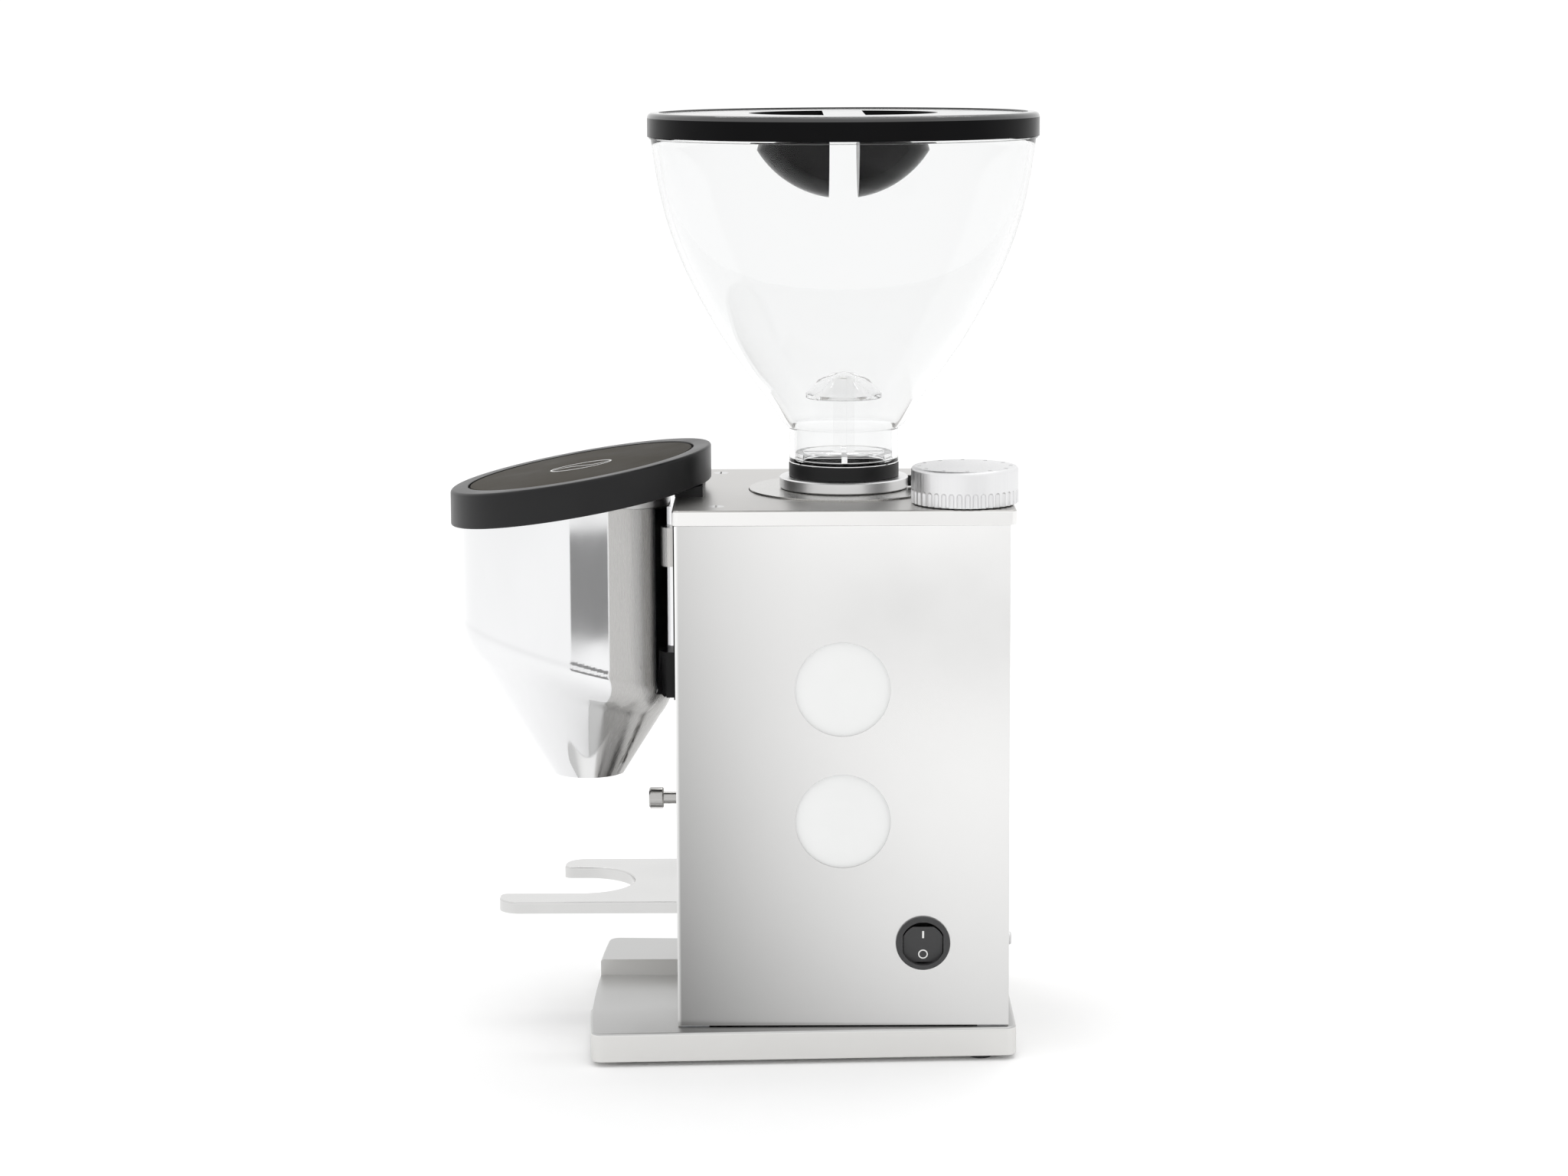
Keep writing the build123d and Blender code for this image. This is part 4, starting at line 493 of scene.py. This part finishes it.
def make_funnel():
    """Outer and inner skins joined along the mouth and the top."""
    across, down = 192, 110
    outer, inner = funnel_skin(0.0, across, down), funnel_skin(1.4, across, down)
    points = np.vstack([outer[::-1].reshape(-1, 3), inner.reshape(-1, 3), outer[-1]])
    return smooth(mesh_object("funnel_shell", points, grid_faces(2 * down + 1, across, True)), 40)


place(make_funnel(), chrome, "root", "chrome", "funnel")


# ---- tilted head -----------------------------------------------------------------------
def on_head(name, profile, around=192):
    """A profile turned about the head's axis, and sheared to follow the head's slant."""
    profile = np.asarray(profile, float) + np.array([0, HEAD_LOW])
    return lathe(name, profile, HEAD_AXIS, around, HEAD_SLOPE)


head_line = rounded([(0, 0.02), (56.55, 0.02), (56.55, 15.15), (49.0, 15.15), (49.0, 13.3), (0, 13.3)],
                    (0.7, 1.3, 0.35, 0.1))
place(smooth(on_head("head_drum", head_line), 40), head_black, "root", "head_black", "head_housing")
disc_line = rounded([(0, 13.45), (48.0, 13.45), (48.0, 14.95), (0, 14.95)], (0.1, 0.3))
place(smooth(on_head("head_inset", disc_line), 40), head_disc, "root", "head_disc", "head_glass")


MARK_SIDE = np.array([-0.5, -0.5, 0.5, 0.5])[None, :] * MARK_WIDTH
MARK_LIFT = np.array([0.0, 1.0, 1.0, 0.0])[None, :] * MARK_HEIGHT


def on_disc(x, y):
    """Points on the head's slanted disc, each raised by its place in the line's low box section."""
    z = HEAD_LOW + DISC_TOP + HEAD_SLOPE * y + MARK_LIFT
    return (np.stack([x, y + HEAD_AXIS[1] / MM, z], -1) * MM).reshape(-1, 3)


def make_mark():
    """A plain bean sign: an oval band (an ellipse of even width) and a sine wave along its middle."""
    around, along = 96, 60
    t = np.linspace(0, 2 * math.pi, around, endpoint=False)[:, None]
    oval = on_disc((9.0 + MARK_SIDE) * np.cos(t), (13.0 + MARK_SIDE) * np.sin(t))
    first = len(oval)
    oval_faces = grid_faces(around + 1, 4, True) % first
    v = np.linspace(-1, 1, along)[:, None]
    wave = on_disc(2.4 * np.sin(v * math.pi) + MARK_SIDE, 12.6 * v + 0 * MARK_SIDE)
    corners = np.arange(4)
    ends = np.stack([corners, corners + 4 * (along - 1)])
    wave_faces = np.vstack([grid_faces(along, 4, True), ends]) + first
    return mesh_object("head_mark", np.vstack([oval, wave]), np.vstack([oval_faces, wave_faces]))


place(make_mark(), mark_white, "root", "head_disc")


# ---- power switch marks ----------------------------------------------------------------
def on_rocker(y, z, lift):
    """Points on the rocker's two shallow faces (millimetres from its pin), then tilted and put in place."""
    tilt = math.radians(8)
    x = 3.6 + 0.0155 * np.abs(z) + lift
    turned_x = x * math.cos(tilt) + z * math.sin(tilt)
    turned_z = z * math.cos(tilt) - x * math.sin(tilt)
    return np.stack([ROCKER_X + turned_x, SHIFT_Y / MM + ROCKER_BEHIND + y, ROCKER_Z + turned_z], -1) * MM


def make_on_mark():
    """An upright bar: the four corners at the rocker's face and again just above it."""
    y = np.array([-0.4, 0.4, 0.4, -0.4])
    z = np.array([2.9, 2.9, 6.1, 6.1])
    levels = np.array([0.0, 0.1])[:, None]
    points = on_rocker(y[None, :] + 0 * levels, z[None, :] + 0 * levels, levels)
    faces = np.vstack([grid_faces(2, 4, True), [[4, 5, 6, 7]], [[3, 2, 1, 0]]])
    return mesh_object("switch_on_mark", points, faces)


def make_off_mark():
    """A ring: four circles round the same centre, joined in a closed square section."""
    t = np.linspace(0, 2 * math.pi, 40, endpoint=False)[None, :]
    r = np.array([1.55, 1.55, 2.05, 2.05, 1.55])[:, None]
    lift = np.array([0.0, 0.1, 0.1, 0.0, 0.0])[:, None]
    points = on_rocker(r * np.cos(t), -4.4 + r * np.sin(t), lift + 0 * t)
    return mesh_object("switch_off_mark", points, grid_faces(5, 40, True))


place(make_on_mark(), mark_white, "rocker", "switch_black")
place(make_off_mark(), mark_white, "rocker", "switch_black")


# ---- camera and light ------------------------------------------------------------------
camera_data = bpy.data.cameras.new("camera")
camera_data.sensor_width = 36
camera_data.lens = 76.517
camera_data.shift_y = -0.0752
camera_data.clip_end = 50
camera = bpy.data.objects.new("camera", camera_data)
bpy.context.scene.collection.objects.link(camera)
bpy.context.scene.camera = camera
yaw, pitch, roll = -0.00193, 0.13191, -0.00422
forward = Vector((-math.cos(yaw) * math.cos(pitch), math.sin(yaw) * math.cos(pitch), -math.sin(pitch)))
right = forward.cross(Vector((0, 0, 1))).normalized()
up = right.cross(forward)
right, up = (right * math.cos(roll) + up * math.sin(roll), up * math.cos(roll) - right * math.sin(roll))
camera.matrix_world = Matrix((
    (right.x, up.x, -forward.x, 1.43431), (right.y, up.y, -forward.y, 0.02015),
    (right.z, up.z, -forward.z, 0.43390), (0, 0, 0, 1)))

scene = bpy.context.scene
scene.view_settings.view_transform = "Standard"
scene.view_settings.look = "None"


def make_floor():
    """A pale flat floor, eight metres square."""
    u = np.linspace(-4, 4, 9)[None, :]
    v = np.linspace(-4, 4, 9)[:, None]
    points = np.stack([u + 0 * v, v + 0 * u, 0 * u * v], -1)
    return mesh_object("floor", points, grid_faces(9, 9, False))


floor = make_floor()
floor_mat = moulded_plastic("floor_white", (0.96, 0.96, 0.96), 0.9, 2.0, 0.01, 0.01)
floor_mat.node_tree.nodes["Principled BSDF"].inputs["Specular IOR Level"].default_value = 0.0
floor.data.materials.append(floor_mat)


def area_light(name, place_at, look_at, size, power):
    data = bpy.data.lights.new(name, "AREA")
    data.shape = "RECTANGLE"
    data.size, data.size_y = size
    data.energy = power
    lamp = bpy.data.objects.new(name, data)
    scene.collection.objects.link(lamp)
    lamp.location = place_at
    lamp.rotation_mode = "QUATERNION"
    lamp.rotation_quaternion = (Vector(look_at) - Vector(place_at)).to_track_quat("-Z", "Y")
    return lamp


area_light("top_softbox", (0.2, 0.3, 2.2), (0, 0, 0.1), (1.6, 1.6), 5)
area_light("back_strip", (-0.95, 0.05, 1.65), (0, 0.05, 0.3), (1.4, 0.05), 3)


def make_card():
    """A low grey card, an arc of one metre round the funnel, which only shiny pieces see."""
    middle_y, height = -0.077, 0.08
    bearing = np.radians(np.linspace(7, 48, 12))[None, :]
    z = np.array([0.0, height])[:, None]
    x, y = np.cos(bearing) + 0 * z, middle_y + np.sin(bearing) + 0 * z
    return mesh_object("grey_card", np.stack([x, y, z + 0 * x], -1), grid_faces(2, 12, False))


card = make_card()
card.data.materials.append(moulded_plastic("card_grey", (0.26, 0.26, 0.26), 0.9, 2.0, 0.01, 0.01, 0.0))
card.visible_camera = False
card.visible_diffuse = False
card.visible_shadow = False
card.visible_transmission = False

world = bpy.data.worlds.new("studio")
scene.world = world
world.use_nodes = True
world.node_tree.nodes["Background"].inputs["Color"].default_value = (1, 1, 1, 1)
world.node_tree.nodes["Background"].inputs["Strength"].default_value = 1.09
